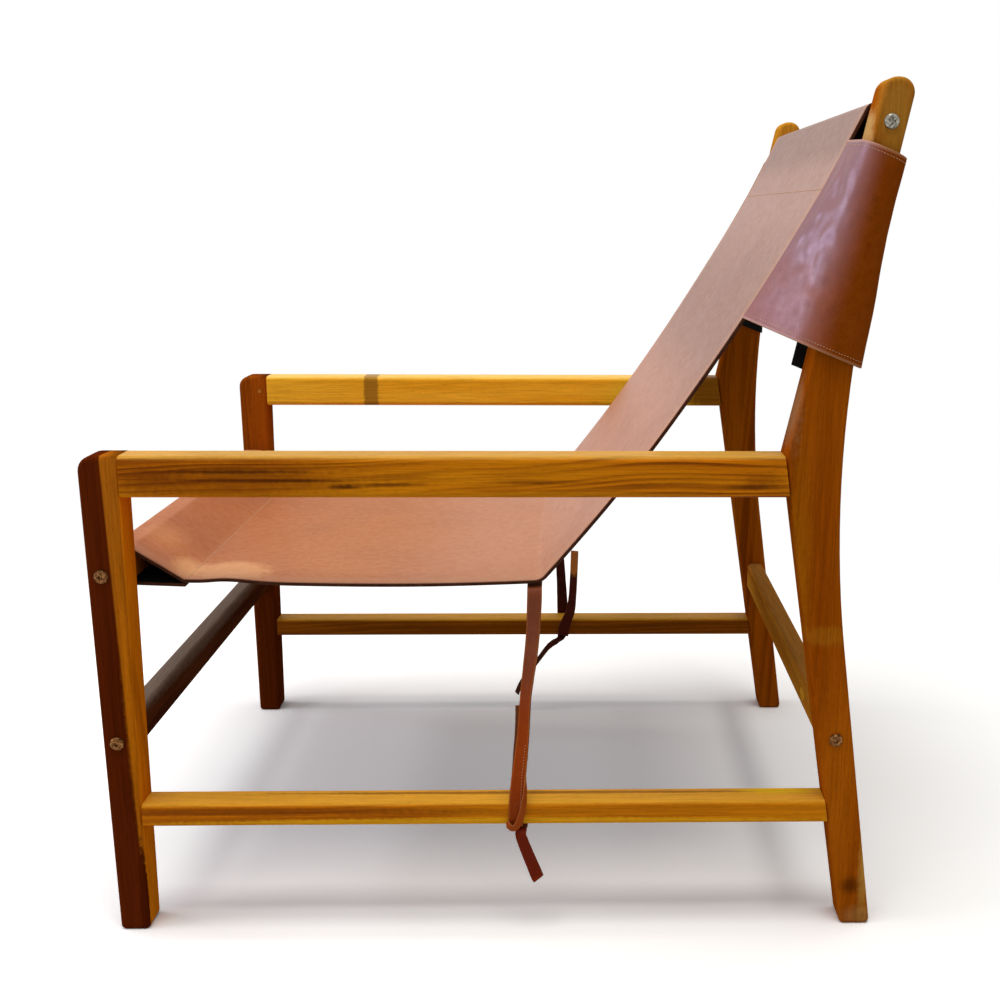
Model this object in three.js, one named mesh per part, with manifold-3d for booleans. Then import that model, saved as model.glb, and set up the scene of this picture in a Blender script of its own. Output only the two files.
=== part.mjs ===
// Sling lounge chair: a bolted hardwood frame that carries one leather seat-and-back sling.
// Millimetres, Z up. The sitter faces -Y and the sitter's left is +X.
// The origin is on the floor, in the middle.
import * as THREE from 'three';
import { mergeVertices } from 'three/addons/utils/BufferGeometryUtils.js';
import Module from 'manifold-3d';

const wasm = await Module();
wasm.setup();

// Overall frame
const chairWidth = 660; // over the outer faces of the two side frames
const chairDepth = 790; // front of the front legs to the heels of the posts
const chairHeight = 853; // floor to the tips of the posts
const sideThickness = 38; // legs, posts and arms, across the chair
const edgeRound = 4; // rounded long edges of the legs and posts
const footRound = 5; // eased edge round each foot
const fitGap = 0.3; // clearance between pieces that touch or fit into each other

// Front legs and armrests
const legTopDepth = 39;
const legFootDepth = 30;
const legCornerRound = 15; // front corner where a leg meets the armrest's top
const armTop = 504; // height of the armrest's top face
const armHeight = 41; // height of the armrest's own section
const armLength = 642; // clear length between leg and post
const armRound = 6;

// Back posts: splayed heel, knee at the armrest, raked upper half
const heelDepth = 32;
const kneeDepth = 39.5; // knee to the sharp meeting point of the two back edges
const kneeRise = 10; // height of that meeting point above the armrest's top
const kneeSweep = 1220; // radius of the back edge behind the knee
const kneeRound = 5;
const tipDepth = 31;
const tipInset = 1; // how far the tip's back stays in front of the heel
const tipRound = 14;

// Side stretchers
const sideStretcherBottom = 117;
const sideStretcherHeight = 25;
const sideStretcherThickness = 36;
const sideStretcherRound = 5;

// Mortise and tenon joints of the armrests and side stretchers
const tenonThickness = 14;
const tenonShoulder = 6; // step from the bar's top and bottom down to its tenon
const tenonLength = 20;
const pinDiameter = 6; // peg that locks the armrest's front tenon
const pinLength = 30;

// Cross rails
const seatBelowArm = 119; // seat rail's bolts, below the armrest's top
const seatRailDepth = 25;
const seatRailHeight = 30;
const seatRailBack = 2.5; // seat rail's middle, behind its bolts
const seatRailDrop = 3; // and below them
const frontRailInset = 14.5; // front rails' bolts, behind the legs' front faces
const stretcherCentre = 210; // height of both cross stretchers
const stretcherDepth = 22;
const stretcherHeight = 37;
const topRailDrop = 39; // top rail's middle, below the posts' tips
const topRailDepth = 20;
const topRailHeight = 32;
const railRound = 5;

// Knock-down fittings in each end of each cross rail
const boltDiameter = 6;
const boltHeadDiameter = 14;
const boltHeadHeight = 3.4;
const boltHeadRim = 1.4; // straight rim below the head's dome
const boltKey = 4; // hexagon recess, across flats
const boltKeyDepth = 2;
const boltTipPast = 4; // bolt's end, past the barrel nut
const nutDiameter = 10;
const nutLength = 16;
const nutSetback = 22; // barrel nut's axis, from the rail's end
const dowelDiameter = 8;
const dowelLength = 30;
const dowelDrop = 10.5; // dowel's axis, below the bolt

// Leather sling
const slingThickness = 4; // leather and its canvas backing
const slingSideGap = 12; // from the sling's edge to the legs and posts
const frontSeamBehind = 64; // front pocket's seam, behind the seat rail's bolts
const frontSeamDrop = 17; // seat's face at that seam, below the seat rail's bolts
const seatLength = 426; // seat rail's bolts to the crease
const creaseDrop = 25.8; // crease, below the seat rail's bolts
const creaseRound = 14;
const foldReach = 28; // straight run on each side of the crease
const seatSag = 2;
const backSag = 11;
const topSeamDrop = 57; // top pocket's seam, below the top rail's middle
const topSeamForward = 50; // and in front of it
const seamLap = 5; // length of pocket leather lapped under its seam
const sideDraw = 26; // how far the ties draw the sling's edges in at the crease
const sideDrawReach = 330; // distance from the crease at which the edges are straight again

// Sleeves that hold the sling's back to the posts
const cuffThickness = 3;
const cuffLength = 167; // along the sling's edge, measured upright
const cuffSlope = 0.4; // fall of its edges towards the back
const cuffTopLap = 2; // top corner, above the top rail's underside
const cuffSlack = 4; // how far the leather stands off the post's back
const liningThickness = 1.5;
const liningDrop = 20; // how far the lining hangs below the leather
const liningSlack = 10; // how far the lining stands off the post's front, where there is room

// Leather ties from the crease down to the side stretchers
const tieWidth = 15;
const tieThickness = 2.4;
const tieBend = 5; // bend at the sling's edge
const tieTurn = 15; // wider bend above the stretcher, where it turns upright
const tieUpright = 10; // height of that bend above the stretcher
const tieSewn = 24; // length sewn under the sling
const tieEnd = 98; // free end that stands up behind the stretcher
const tailWidth = 12;

// How each tie lies: how far it is sewn ahead of the crease, how far its lengths lean towards the back, and
// how far its tail drops below the stretcher
const leftTie = { ahead: 7, lean: -18.5, endLean: 8, tailDrop: 52, tailLean: 24, tailInside: false };
const rightTie = { ahead: 1, lean: 18, endLean: 15, tailDrop: 88, tailLean: -66, tailInside: true };

// Finishes
const heartwood = { color: 0x5a2a0c, roughness: 0.45, metalness: 0 };
const teak = { color: 0x9a6224, roughness: 0.45, metalness: 0 };
const goldenTeak = { color: 0xc08a35, roughness: 0.45, metalness: 0 };
const beech = { color: 0xd6b98a, roughness: 0.7, metalness: 0 };
const leather = { color: 0xb87850, roughness: 0.5, metalness: 0 };
const cuffLeather = { color: 0x80401f, roughness: 0.35, metalness: 0 };
const tieLeather = { color: 0x6e3317, roughness: 0.5, metalness: 0 };
const canvas = { color: 0x141312, roughness: 0.9, metalness: 0 };
const bronze = { color: 0x6f5f4a, roughness: 0.4, metalness: 1 };
const steel = { color: 0xc9c9c4, roughness: 0.3, metalness: 1 };

// Fineness of curves
const arcStep = Math.PI / 12;
const arcLengthStep = 25;
const edgeSegments = 3;
const roundSides = 12;
const hexagonSides = 6;
const curveSteps = 14;
const cuffStations = 7;
const cuffArcSteps = 4;
const filletShare = 0.95; // most of an edge's free length that one rounded corner may take
const levelPasses = 12; // passes that settle where a sleeve's slanted level meets the post

// Places worked out from the sizes above
const outerX = chairWidth / 2;
const innerX = outerX - sideThickness;
const legFrontY = -chairDepth / 2;
const heelBackY = chairDepth / 2;
const kneeY = legFrontY + legTopDepth + armLength;
const tipBackY = heelBackY - tipInset;
const tipFrontY = tipBackY - tipDepth;
const legRearAt = (z) => legFrontY + THREE.MathUtils.mapLinear(z, 0, armTop, legFootDepth, legTopDepth);
const postFrontBelowKnee = (z) => THREE.MathUtils.mapLinear(z, 0, armTop, heelBackY - heelDepth, kneeY);

// Cross rails by the line of their bolts, and where each section's middle is from there
const seatRail = {
  y: legFrontY + frontRailInset,
  z: armTop - seatBelowArm,
  back: seatRailBack,
  drop: seatRailDrop,
  depth: seatRailDepth,
  height: seatRailHeight,
};

/** One corner of an outline: the ways to its neighbours, its half angle, and where its arc starts. */
function cornerAt(corners, i) {
  const here = new THREE.Vector2(corners[i][0], corners[i][1]);
  const before = corners[(i + corners.length - 1) % corners.length];
  const after = corners[(i + 1) % corners.length];
  const back = new THREE.Vector2(before[0], before[1]).sub(here);
  const ahead = new THREE.Vector2(after[0], after[1]).sub(here);
  const lengths = [back.length(), ahead.length()];
  back.normalize();
  ahead.normalize();
  const half = Math.acos(THREE.MathUtils.clamp(back.dot(ahead), -1, 1)) / 2;
  const setback = (corners[i][2] ?? 0) / Math.tan(half);
  return { here, back, ahead, lengths, half, setback };
}

/** Turns an outline's sharp corners, each [u, v, radius], into arcs as large as their edges take. */
function roundCorners(corners, closed = true) {
  const found = corners.map((_, i) => cornerAt(corners, i));
  const points = [];
  found.forEach(({ here, back, ahead, lengths, half, setback }, i) => {
    const isEnd = !closed && (i === 0 || i === corners.length - 1);
    if (setback === 0 || isEnd) {
      points.push(here);
      return;
    }
    const neighbours = [found.at(i - 1), found[(i + 1) % found.length]];
    const room = lengths.map((length, k) => length - Math.min(neighbours[k].setback, length / 2));
    const start = Math.min(setback, filletShare * Math.min(...room));
    const radius = start * Math.tan(half);
    const middle = back.clone().add(ahead).normalize().multiplyScalar(radius / Math.sin(half));
    const centre = here.clone().add(middle);
    const spoke = back.clone().multiplyScalar(start).sub(middle);
    const turn = (Math.PI - 2 * half) * Math.sign(spoke.cross(middle.clone().negate()));
    const steps = Math.ceil(Math.max(Math.abs(turn) / arcStep, (Math.abs(turn) * radius) / arcLengthStep));
    for (let k = 0; k <= steps; k += 1) {
      points.push(spoke.clone().rotateAround(new THREE.Vector2(), (turn * k) / steps).add(centre));
    }
  });
  return points;
}

/** Corners of an upright rectangle about a middle point, each with the same radius. */
function rectangle(u, v, width, height, radius) {
  const [a, b] = [width / 2, height / 2];
  return [[u - a, v - b, radius], [u + a, v - b, radius], [u + a, v + b, radius], [u - a, v + b, radius]];
}

/** Extrudes an outline of [y, z] points across the chair, between two X places, with eased side edges. */
function extrudeAcross(points, fromX, toX, ease = 0, holes = []) {
  const shape = new THREE.Shape(points);
  shape.holes = holes.map((hole) => new THREE.Path(hole));
  const geometry = new THREE.ExtrudeGeometry(shape, {
    depth: toX - fromX - 2 * ease,
    bevelEnabled: ease > 0,
    bevelThickness: ease,
    bevelSize: ease,
    bevelOffset: -ease,
    bevelSegments: edgeSegments,
  });
  geometry.applyMatrix4(new THREE.Matrix4().set(0, 0, 1, fromX + ease, 1, 0, 0, 0, 0, 1, 0, 0, 0, 0, 0, 1));
  return geometry;
}

/** Extrudes an outline of [x, z] points along the chair's depth, between two Y places. */
function extrudeAlong(points, fromY, toY) {
  const shape = new THREE.Shape(points);
  const geometry = new THREE.ExtrudeGeometry(shape, { depth: toY - fromY, bevelEnabled: false });
  return geometry.rotateX(Math.PI / 2).translate(0, toY, 0);
}

/** A round bar along X or Z, from one place to another on that axis, about a middle point. */
function roundBar(axis, diameter, from, to, centre, sides = roundSides) {
  const geometry = new THREE.CylinderGeometry(diameter / 2, diameter / 2, to - from, sides);
  if (axis === 'x') geometry.rotateZ(-Math.PI / 2);
  if (axis === 'z') geometry.rotateX(Math.PI / 2);
  const place = new THREE.Vector3(centre.x ?? 0, centre.y ?? 0, centre.z ?? 0);
  place[axis] = (from + to) / 2;
  return geometry.translate(place.x, place.y, place.z);
}

/** A rectangular block between two corners. */
function block(low, high) {
  const size = new THREE.Vector3().subVectors(high, low);
  const middle = new THREE.Vector3().addVectors(high, low).multiplyScalar(0.5);
  return new THREE.BoxGeometry(size.x, size.y, size.z).translate(middle.x, middle.y, middle.z);
}

/** Joins a geometry's shared vertices and makes it a solid that can be cut and joined. */
function solidFrom(geometry) {
  const bare = geometry.clone();
  bare.deleteAttribute('normal');
  bare.deleteAttribute('uv');
  const merged = mergeVertices(bare);
  const corners = merged.index.array;
  const triangles = [];
  for (let i = 0; i < corners.length; i += 3) {
    const [a, b, c] = [corners[i], corners[i + 1], corners[i + 2]];
    if (a !== b && b !== c && c !== a) triangles.push(a, b, c);
  }
  return new wasm.Manifold(new wasm.Mesh({
    numProp: 3,
    vertProperties: merged.attributes.position.array,
    triVerts: Uint32Array.from(triangles),
  }));
}

/** Gives a solid back as a geometry. */
function geometryFrom(solid) {
  const mesh = solid.getMesh();
  const geometry = new THREE.BufferGeometry();
  geometry.setAttribute('position', new THREE.BufferAttribute(mesh.vertProperties, 3));
  geometry.setIndex(new THREE.BufferAttribute(mesh.triVerts, 1));
  return geometry;
}

/** Cuts each tool geometry out of a base geometry. */
function cutFrom(base, tools) {
  const solid = tools.reduce((rest, tool) => rest.subtract(solidFrom(tool)), solidFrom(base));
  return geometryFrom(solid);
}

/** Moves each point of an open line to its left by a distance, along the line's own normals. */
function offsetLine(points, distance) {
  return points.map((point, i) => {
    const before = points[Math.max(i - 1, 0)];
    const after = points[Math.min(i + 1, points.length - 1)];
    const along = new THREE.Vector2().subVectors(after, before).normalize();
    return new THREE.Vector2(point.x - along.y * distance, point.y + along.x * distance);
  });
}

/** Height line of a [y, z] polyline: the y at a given z. */
function yAt(points, z) {
  const i = points.findIndex((point, k) => k > 0 && (points[k - 1].y - z) * (point.y - z) <= 0);
  const [a, b] = [points[i - 1], points[i]];
  return THREE.MathUtils.mapLinear(z, a.y, b.y, a.x, b.x);
}

/** Closed solid between two grids of points, an outer and an inner face of one sheet. */
function sheetSolid(outer, inner) {
  const rows = outer.length;
  const columns = outer[0].length;
  const points = [...outer.flat(), ...inner.flat()];
  const at = (face, i, j) => face * rows * columns + i * columns + j;
  const index = [];
  const quad = (a, b, c, d) => index.push(a, b, c, a, c, d);
  for (let i = 0; i < rows - 1; i += 1) {
    for (let j = 0; j < columns - 1; j += 1) {
      quad(at(0, i, j), at(0, i + 1, j), at(0, i + 1, j + 1), at(0, i, j + 1));
      quad(at(1, i, j), at(1, i, j + 1), at(1, i + 1, j + 1), at(1, i + 1, j));
    }
    quad(at(0, i, 0), at(1, i, 0), at(1, i + 1, 0), at(0, i + 1, 0));
    quad(at(0, i, columns - 1), at(0, i + 1, columns - 1), at(1, i + 1, columns - 1), at(1, i, columns - 1));
  }
  for (let j = 0; j < columns - 1; j += 1) {
    quad(at(0, 0, j), at(0, 0, j + 1), at(1, 0, j + 1), at(1, 0, j));
    quad(at(0, rows - 1, j), at(1, rows - 1, j), at(1, rows - 1, j + 1), at(0, rows - 1, j + 1));
  }
  const geometry = new THREE.BufferGeometry().setFromPoints(points);
  geometry.setIndex(index);
  return geometry;
}

// Side outlines of the leg and the post
const legOutline = roundCorners([
  [legFrontY, 0, footRound],
  [legRearAt(0), 0, footRound],
  [legRearAt(armTop), armTop],
  [legFrontY, armTop, legCornerRound],
]);
const kneeBack = [kneeY + kneeDepth, armTop + kneeRise];
const postOutline = roundCorners([
  [heelBackY - heelDepth, 0, footRound],
  [heelBackY, 0, footRound],
  [...kneeBack, kneeSweep],
  [tipBackY, chairHeight, tipRound],
  [tipFrontY, chairHeight, tipRound],
  [kneeY, armTop, kneeRound],
]);
const postFrontAboveKnee = (z) => THREE.MathUtils.mapLinear(z, armTop, chairHeight, kneeY, tipFrontY);
const postBackLine = roundCorners([[heelBackY, 0], [...kneeBack, kneeSweep], [tipBackY, chairHeight]], false);
const postBackAt = (z) => yAt(postBackLine, z);

const topRailZ = chairHeight - topRailDrop;
const topRail = {
  y: (postFrontAboveKnee(topRailZ) + postBackAt(topRailZ)) / 2,
  z: topRailZ,
  back: 0,
  drop: 0,
  depth: topRailDepth,
  height: topRailHeight,
};
const frontStretcher = {
  y: legFrontY + frontRailInset,
  z: stretcherCentre,
  back: 0,
  drop: 0,
  depth: stretcherDepth,
  height: stretcherHeight,
};
const rearStretcher = {
  y: (postFrontBelowKnee(stretcherCentre) + postBackAt(stretcherCentre)) / 2,
  z: stretcherCentre,
  back: 0,
  drop: 0,
  depth: stretcherDepth,
  height: stretcherHeight,
};

// Bars of a side frame: each runs from the leg to the post, with a tenon at both ends
const sideBars = {
  armrest: { bottom: armTop - armHeight, top: armTop, thickness: sideThickness, round: armRound },
  side_stretcher: {
    bottom: sideStretcherBottom,
    top: sideStretcherBottom + sideStretcherHeight,
    thickness: sideStretcherThickness,
    round: sideStretcherRound,
  },
};

/** Tenon at one end of a side bar, or its mortise when grown by the fit clearance. */
function tenon(bar, atFront, grow = 0) {
  const middle = (bar.bottom + bar.top) / 2;
  const face = atFront ? legRearAt(middle) : postFrontBelowKnee(middle);
  const tip = face + (atFront ? -1 : 1) * (tenonLength + grow);
  const root = face + (atFront ? 1 : -1) * tenonLength;
  const x = outerX - bar.thickness / 2;
  const half = tenonThickness / 2 + grow;
  const step = tenonShoulder - grow;
  const low = new THREE.Vector3(x - half, Math.min(tip, root), bar.bottom + step);
  const high = new THREE.Vector3(x + half, Math.max(tip, root), bar.top - step);
  return block(low, high);
}

/** Armrest peg's place on the leg's inner face, and its hole when grown. */
function armPin(grow = 0) {
  const bar = sideBars.armrest;
  const z = (bar.bottom + bar.top) / 2;
  const y = legRearAt(z) - tenonLength / 2;
  return roundBar('x', pinDiameter + 2 * grow, innerX - grow, innerX + pinLength + grow, { y, z });
}

/** One armrest or side stretcher with its two tenons. */
function sideBar(bar) {
  const middle = (bar.bottom + bar.top) / 2;
  const x = outerX - bar.thickness / 2;
  const section = roundCorners(rectangle(x, middle, bar.thickness, bar.top - bar.bottom, bar.round));
  const long = solidFrom(extrudeAlong(section, legFrontY, heelBackY));
  const ends = extrudeAcross([
    new THREE.Vector2(legRearAt(bar.bottom) + fitGap, bar.bottom),
    new THREE.Vector2(postFrontBelowKnee(bar.bottom) - fitGap, bar.bottom),
    new THREE.Vector2(postFrontBelowKnee(bar.top) - fitGap, bar.top),
    new THREE.Vector2(legRearAt(bar.top) + fitGap, bar.top),
  ], 0, chairWidth);
  const trimmed = long.intersect(solidFrom(ends));
  return trimmed.add(solidFrom(tenon(bar, true))).add(solidFrom(tenon(bar, false)));
}

/** Bolt hole and dowel hole of one cross rail, from its end or through a leg or post. */
function fittingHoles(rail, fromX, toX) {
  const dowelReach = dowelLength / 2 + fitGap;
  const bolt = roundBar('x', boltDiameter + 2 * fitGap, fromX, toX, rail);
  const dowelAt = { y: rail.y, z: rail.z - dowelDrop };
  const dowel = roundBar('x', dowelDiameter + 2 * fitGap, innerX - dowelReach, innerX + dowelReach, dowelAt);
  return [bolt, dowel];
}

const boltTipX = innerX - nutSetback - nutDiameter / 2 - boltTipPast;
const nutX = innerX - nutSetback;

/** Middle of a rail's section, as a place along the depth and the height. */
const railMiddle = (rail) => new THREE.Vector2(rail.y + rail.back, rail.z - rail.drop);

/** A cross rail between the side frames, drilled at both ends for its fittings. */
function crossRail(rail) {
  const end = innerX - fitGap;
  const middle = railMiddle(rail);
  const section = roundCorners(rectangle(middle.x, middle.y, rail.depth, rail.height, railRound));
  const nutTop = rail.z + nutLength / 2 + fitGap;
  const nutAt = { x: nutX, y: rail.y };
  const nutHole = roundBar('z', nutDiameter + 2 * fitGap, rail.z - rail.height, nutTop, nutAt);
  const leftHoles = [...fittingHoles(rail, boltTipX - fitGap, outerX), nutHole];
  const rightHoles = leftHoles.map((hole) => hole.clone().rotateZ(Math.PI).translate(0, 2 * rail.y, 0));
  return cutFrom(extrudeAcross(section, -end, end), [...leftHoles, ...rightHoles]);
}

/** Connector bolt of a rail's left end: domed head with a hexagon recess, and a plain shank. */
function connectorBolt(rail) {
  const headRadius = boltHeadDiameter / 2;
  const seatX = outerX + fitGap;
  const domeHeight = boltHeadHeight - boltHeadRim;
  const dome = new THREE.EllipseCurve(0, seatX + boltHeadRim, headRadius, domeHeight, 0, Math.PI / 2);
  const profile = [
    new THREE.Vector2(0, boltTipX),
    new THREE.Vector2(boltDiameter / 2, boltTipX),
    new THREE.Vector2(boltDiameter / 2, seatX),
    new THREE.Vector2(headRadius, seatX),
    ...dome.getPoints(edgeSegments),
  ];
  const upright = new THREE.LatheGeometry(profile, roundSides);
  const body = upright.rotateZ(-Math.PI / 2).translate(0, rail.y, rail.z);
  const faceX = seatX + boltHeadHeight;
  const keyDiameter = boltKey / Math.cos(Math.PI / hexagonSides);
  const recess = roundBar('x', keyDiameter, faceX - boltKeyDepth, faceX + boltKeyDepth, rail, hexagonSides);
  return cutFrom(body, [recess]);
}

/** Barrel nut across a rail's left end, with the cross hole for its bolt. */
function barrelNut(rail) {
  const half = nutLength / 2;
  const body = roundBar('z', nutDiameter, rail.z - half, rail.z + half, { x: nutX, y: rail.y });
  const hole = roundBar('x', boltDiameter + 2 * fitGap, nutX - nutDiameter, nutX + nutDiameter, rail);
  return cutFrom(body, [hole]);
}

/** Locating dowel at a rail's left end. */
function railDowel(rail) {
  const half = dowelLength / 2;
  return roundBar('x', dowelDiameter, innerX - half, innerX + half, { y: rail.y, z: rail.z - dowelDrop });
}

/** Holes of a rail's fittings, right through a leg or post. */
const throughHoles = (rail) => fittingHoles(rail, boltTipX, outerX + sideThickness);

/** Front leg with its mortises and drilled holes. */
function frontLeg() {
  const mortises = Object.values(sideBars).map((bar) => tenon(bar, true, fitGap));
  const holes = [seatRail, frontStretcher].flatMap(throughHoles);
  const leg = extrudeAcross(legOutline, innerX, outerX, edgeRound);
  return cutFrom(leg, [...mortises, ...holes, armPin(fitGap)]);
}

/** Back post with its mortises and drilled holes. */
function backPost() {
  const mortises = Object.values(sideBars).map((bar) => tenon(bar, false, fitGap));
  const holes = [rearStretcher, topRail].flatMap(throughHoles);
  return cutFrom(extrudeAcross(postOutline, innerX, outerX, edgeRound), [...mortises, ...holes]);
}

// Sling: side profile of its face, from the front seam over the crease to the top seam
const frontSeam = new THREE.Vector2(seatRail.y + frontSeamBehind, seatRail.z - frontSeamDrop);
const crease = new THREE.Vector2(seatRail.y + seatLength, seatRail.z - creaseDrop);
const topSeam = new THREE.Vector2(topRail.y - topSeamForward, topRail.z - topSeamDrop);

/** Points of a shallow curve between two places that hangs by a given amount at its middle. */
function saggingLine(from, to, sag) {
  const middle = from.clone().add(to).multiplyScalar(0.5);
  const along = to.clone().sub(from).normalize();
  const control = middle.add(new THREE.Vector2(along.y, -along.x).multiplyScalar(2 * sag));
  return new THREE.QuadraticBezierCurve(from, control, to).getPoints(curveSteps);
}

/** Straight step from one point towards another. */
const stepTowards = (from, to, length) => to.clone().sub(from).setLength(length).add(from);

/** The sling's face: seat, rounded crease and back, as one line. */
function slingFace() {
  const seat = saggingLine(frontSeam, crease, seatSag);
  const back = saggingLine(crease, topSeam, backSag);
  const towardsSeat = stepTowards(crease, seat.at(-2), foldReach);
  const towardsBack = stepTowards(crease, back[1], foldReach);
  const fold = roundCorners([[...towardsSeat], [...crease, creaseRound], [...towardsBack]], false);
  const clear = (point) => point.distanceTo(crease) > foldReach + slingThickness;
  return [...seat.filter(clear), ...fold, ...back.filter(clear)];
}

/** Where a straight line from a point touches a circle; side is 1 or -1 for its two tangents. */
function tangentAngle(point, centre, radius, side) {
  const towards = Math.atan2(point.y - centre.y, point.x - centre.x);
  return towards + side * Math.acos(radius / point.distanceTo(centre));
}

/** Points of an arc about a centre, between two angles. */
function arc(centre, radius, from, to, steps = Math.ceil(Math.abs(to - from) / arcStep)) {
  return Array.from({ length: steps + 1 }, (_, k) => {
    const angle = from + ((to - from) * k) / steps;
    return new THREE.Vector2(centre.x + radius * Math.cos(angle), centre.y + radius * Math.sin(angle));
  });
}

/** Middle points of a rail's four rounded corners, named by their side of the rail. */
function railCorners(rail) {
  const [y, z] = [rail.depth / 2 - railRound, rail.height / 2 - railRound];
  const middle = railMiddle(rail);
  return {
    rearTop: new THREE.Vector2(middle.x + y, middle.y + z),
    frontTop: new THREE.Vector2(middle.x - y, middle.y + z),
    frontBottom: new THREE.Vector2(middle.x - y, middle.y - z),
    rearBottom: new THREE.Vector2(middle.x + y, middle.y - z),
  };
}

/** Loop of leather round the seat rail: from the seam on the face, over the rail, to the seam below. */
function frontPocket(faceSeam, underSeam, radius) {
  const { rearTop, frontTop, frontBottom } = railCorners(seatRail);
  const leave = tangentAngle(faceSeam, rearTop, radius, 1);
  const arrive = tangentAngle(underSeam, frontBottom, radius, -1);
  return [
    faceSeam,
    ...arc(rearTop, radius, leave, Math.PI / 2),
    ...arc(frontTop, radius, Math.PI / 2, Math.PI),
    ...arc(frontBottom, radius, Math.PI, THREE.MathUtils.euclideanModulo(arrive, 2 * Math.PI)),
    underSeam,
  ];
}

/** Loop of leather round the top rail: from the seam behind, over the rail, to the seam on the face. */
function topPocket(backSeam, faceSeam, radius) {
  const { rearTop, frontTop, rearBottom } = railCorners(topRail);
  const arrive = tangentAngle(backSeam, rearBottom, radius, 1);
  const leave = tangentAngle(faceSeam, frontTop, radius, -1);
  return [
    backSeam,
    ...arc(rearBottom, radius, arrive, 0),
    ...arc(rearTop, radius, 0, Math.PI / 2),
    ...arc(frontTop, radius, Math.PI / 2, THREE.MathUtils.euclideanModulo(leave, 2 * Math.PI)),
    faceSeam,
  ];
}

const face = slingFace();
const under = offsetLine(face, -slingThickness);
const lapped = offsetLine(face, -2 * slingThickness);
const outerRadius = railRound + fitGap + slingThickness;
const innerRadius = railRound + fitGap;
const topLoop = topPocket(lapped.at(-1), face.at(-1), outerRadius);
const slingFront = [...face, ...topLoop.toReversed().slice(1)];

/** Half width of the sling at a place on its profile: narrower near the crease, where the ties pull. */
function slingHalfWidth(y, z) {
  const away = Math.min(Math.hypot(y - crease.x, z - crease.y) / sideDrawReach, 1);
  return innerX - slingSideGap - sideDraw * (1 - away) ** 2;
}

/** The whole sling: one sheet with a sewn pocket for the seat rail and one for the top rail. */
function sling() {
  const frontLap = stepTowards(lapped[0], lapped[1], seamLap);
  const topLap = stepTowards(lapped.at(-1), lapped.at(-2), seamLap);
  const belowSeat = under.filter((point) => point.x > frontLap.x && point.y < topLap.y);
  const outline = [
    ...frontPocket(face[0], lapped[0], outerRadius),
    frontLap,
    stepTowards(under[0], under[1], seamLap),
    ...belowSeat,
    stepTowards(under.at(-1), under.at(-2), seamLap),
    topLap,
    ...topLoop,
    ...face.slice(1, -1).toReversed(),
  ];
  const frontHole = frontPocket(under[0], under[0], innerRadius).slice(1);
  const topHole = topPocket(under.at(-1), under.at(-1), innerRadius).slice(1);
  const geometry = extrudeAcross(outline, -innerX, innerX, 0, [frontHole, topHole]);
  const place = geometry.attributes.position;
  for (let i = 0; i < place.count; i += 1) {
    place.setX(i, Math.sign(place.getX(i)) * slingHalfWidth(place.getY(i), place.getZ(i)));
  }
  return geometry;
}

/** Where a sleeve's slanted level, starting from the sling's edge, meets a line of the post. */
function meetPost(lineAt, start) {
  let z = start.y;
  for (let pass = 0; pass < levelPasses; pass += 1) {
    z = start.y - cuffSlope * (lineAt(z) - start.x);
  }
  return lineAt(z);
}

/** Plan line of a sleeve's leather round the outside of the post, at one level of the sling's edge. */
function cuffLine(edge, frontY, backY) {
  const radius = edgeRound + fitGap;
  const start = new THREE.Vector2(innerX - slingSideGap + fitGap, edge.x);
  const front = new THREE.Vector2(outerX - edgeRound, frontY + edgeRound);
  const back = new THREE.Vector2(outerX - edgeRound, backY + cuffSlack - edgeRound);
  const touch = tangentAngle(start, front, radius, 1);
  const end = new THREE.Vector2(outerX - sideThickness / 2, backY + cuffSlack + fitGap);
  return [
    start,
    ...arc(front, radius, touch, 0, cuffArcSteps),
    ...arc(back, radius, 0, Math.PI / 2, cuffArcSteps),
    end,
  ];
}

/** Plan line of the lining: from just ahead of the post's front, along its inside, to its back. */
function liningLine(edge, frontY, backY) {
  const leatherY = THREE.MathUtils.mapLinear(slingSideGap, 0, slingSideGap + sideThickness, edge.x, frontY);
  const room = (frontY - leatherY) / 2 - liningThickness;
  const slack = THREE.MathUtils.clamp(room, -edgeRound, liningSlack);
  const back = new THREE.Vector2(innerX + edgeRound, backY - edgeRound);
  return [
    new THREE.Vector2(innerX - fitGap, frontY - slack),
    ...arc(back, edgeRound + fitGap, Math.PI, Math.PI / 2, cuffArcSteps),
    new THREE.Vector2(outerX - sideThickness / 2, backY + fitGap),
  ];
}

/** Lofts a sleeve half through level lines between two heights on the sling's edge. */
function sleeve(lineFor, thickness, bottomZ, topZ) {
  const outer = [];
  const inner = [];
  for (let k = 0; k < cuffStations; k += 1) {
    const z = THREE.MathUtils.mapLinear(k, 0, cuffStations - 1, bottomZ, topZ);
    const edge = new THREE.Vector2(yAt(slingFront.filter((point) => point.y > crease.y), z), z);
    const line = lineFor(edge, meetPost(postFrontAboveKnee, edge), meetPost(postBackAt, edge));
    const raise = (point) => new THREE.Vector3(point.x, point.y, z - cuffSlope * (point.y - edge.x));
    inner.push(line.map(raise));
    outer.push(offsetLine(line, thickness).map(raise));
  }
  return thickness > 0 ? sheetSolid(outer, inner) : sheetSolid(outer.toReversed(), inner.toReversed());
}

const cuffTop = topRail.z - topRail.height / 2 + cuffTopLap;
const cuffBottom = cuffTop - cuffLength;

/** A bent strip of leather: a path of [x, z] corners and, for each of its points, a place along the depth. */
function strap(corners, width, depthAt) {
  const path = roundCorners(corners, false);
  const edges = (line) => line.map((point, i) => [-width / 2, width / 2].map((across) => {
    return new THREE.Vector3(point.x, depthAt(path, i) + across, point.y);
  }));
  return sheetSolid(edges(offsetLine(path, tieThickness / 2)), edges(offsetLine(path, -tieThickness / 2)));
}

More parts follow.
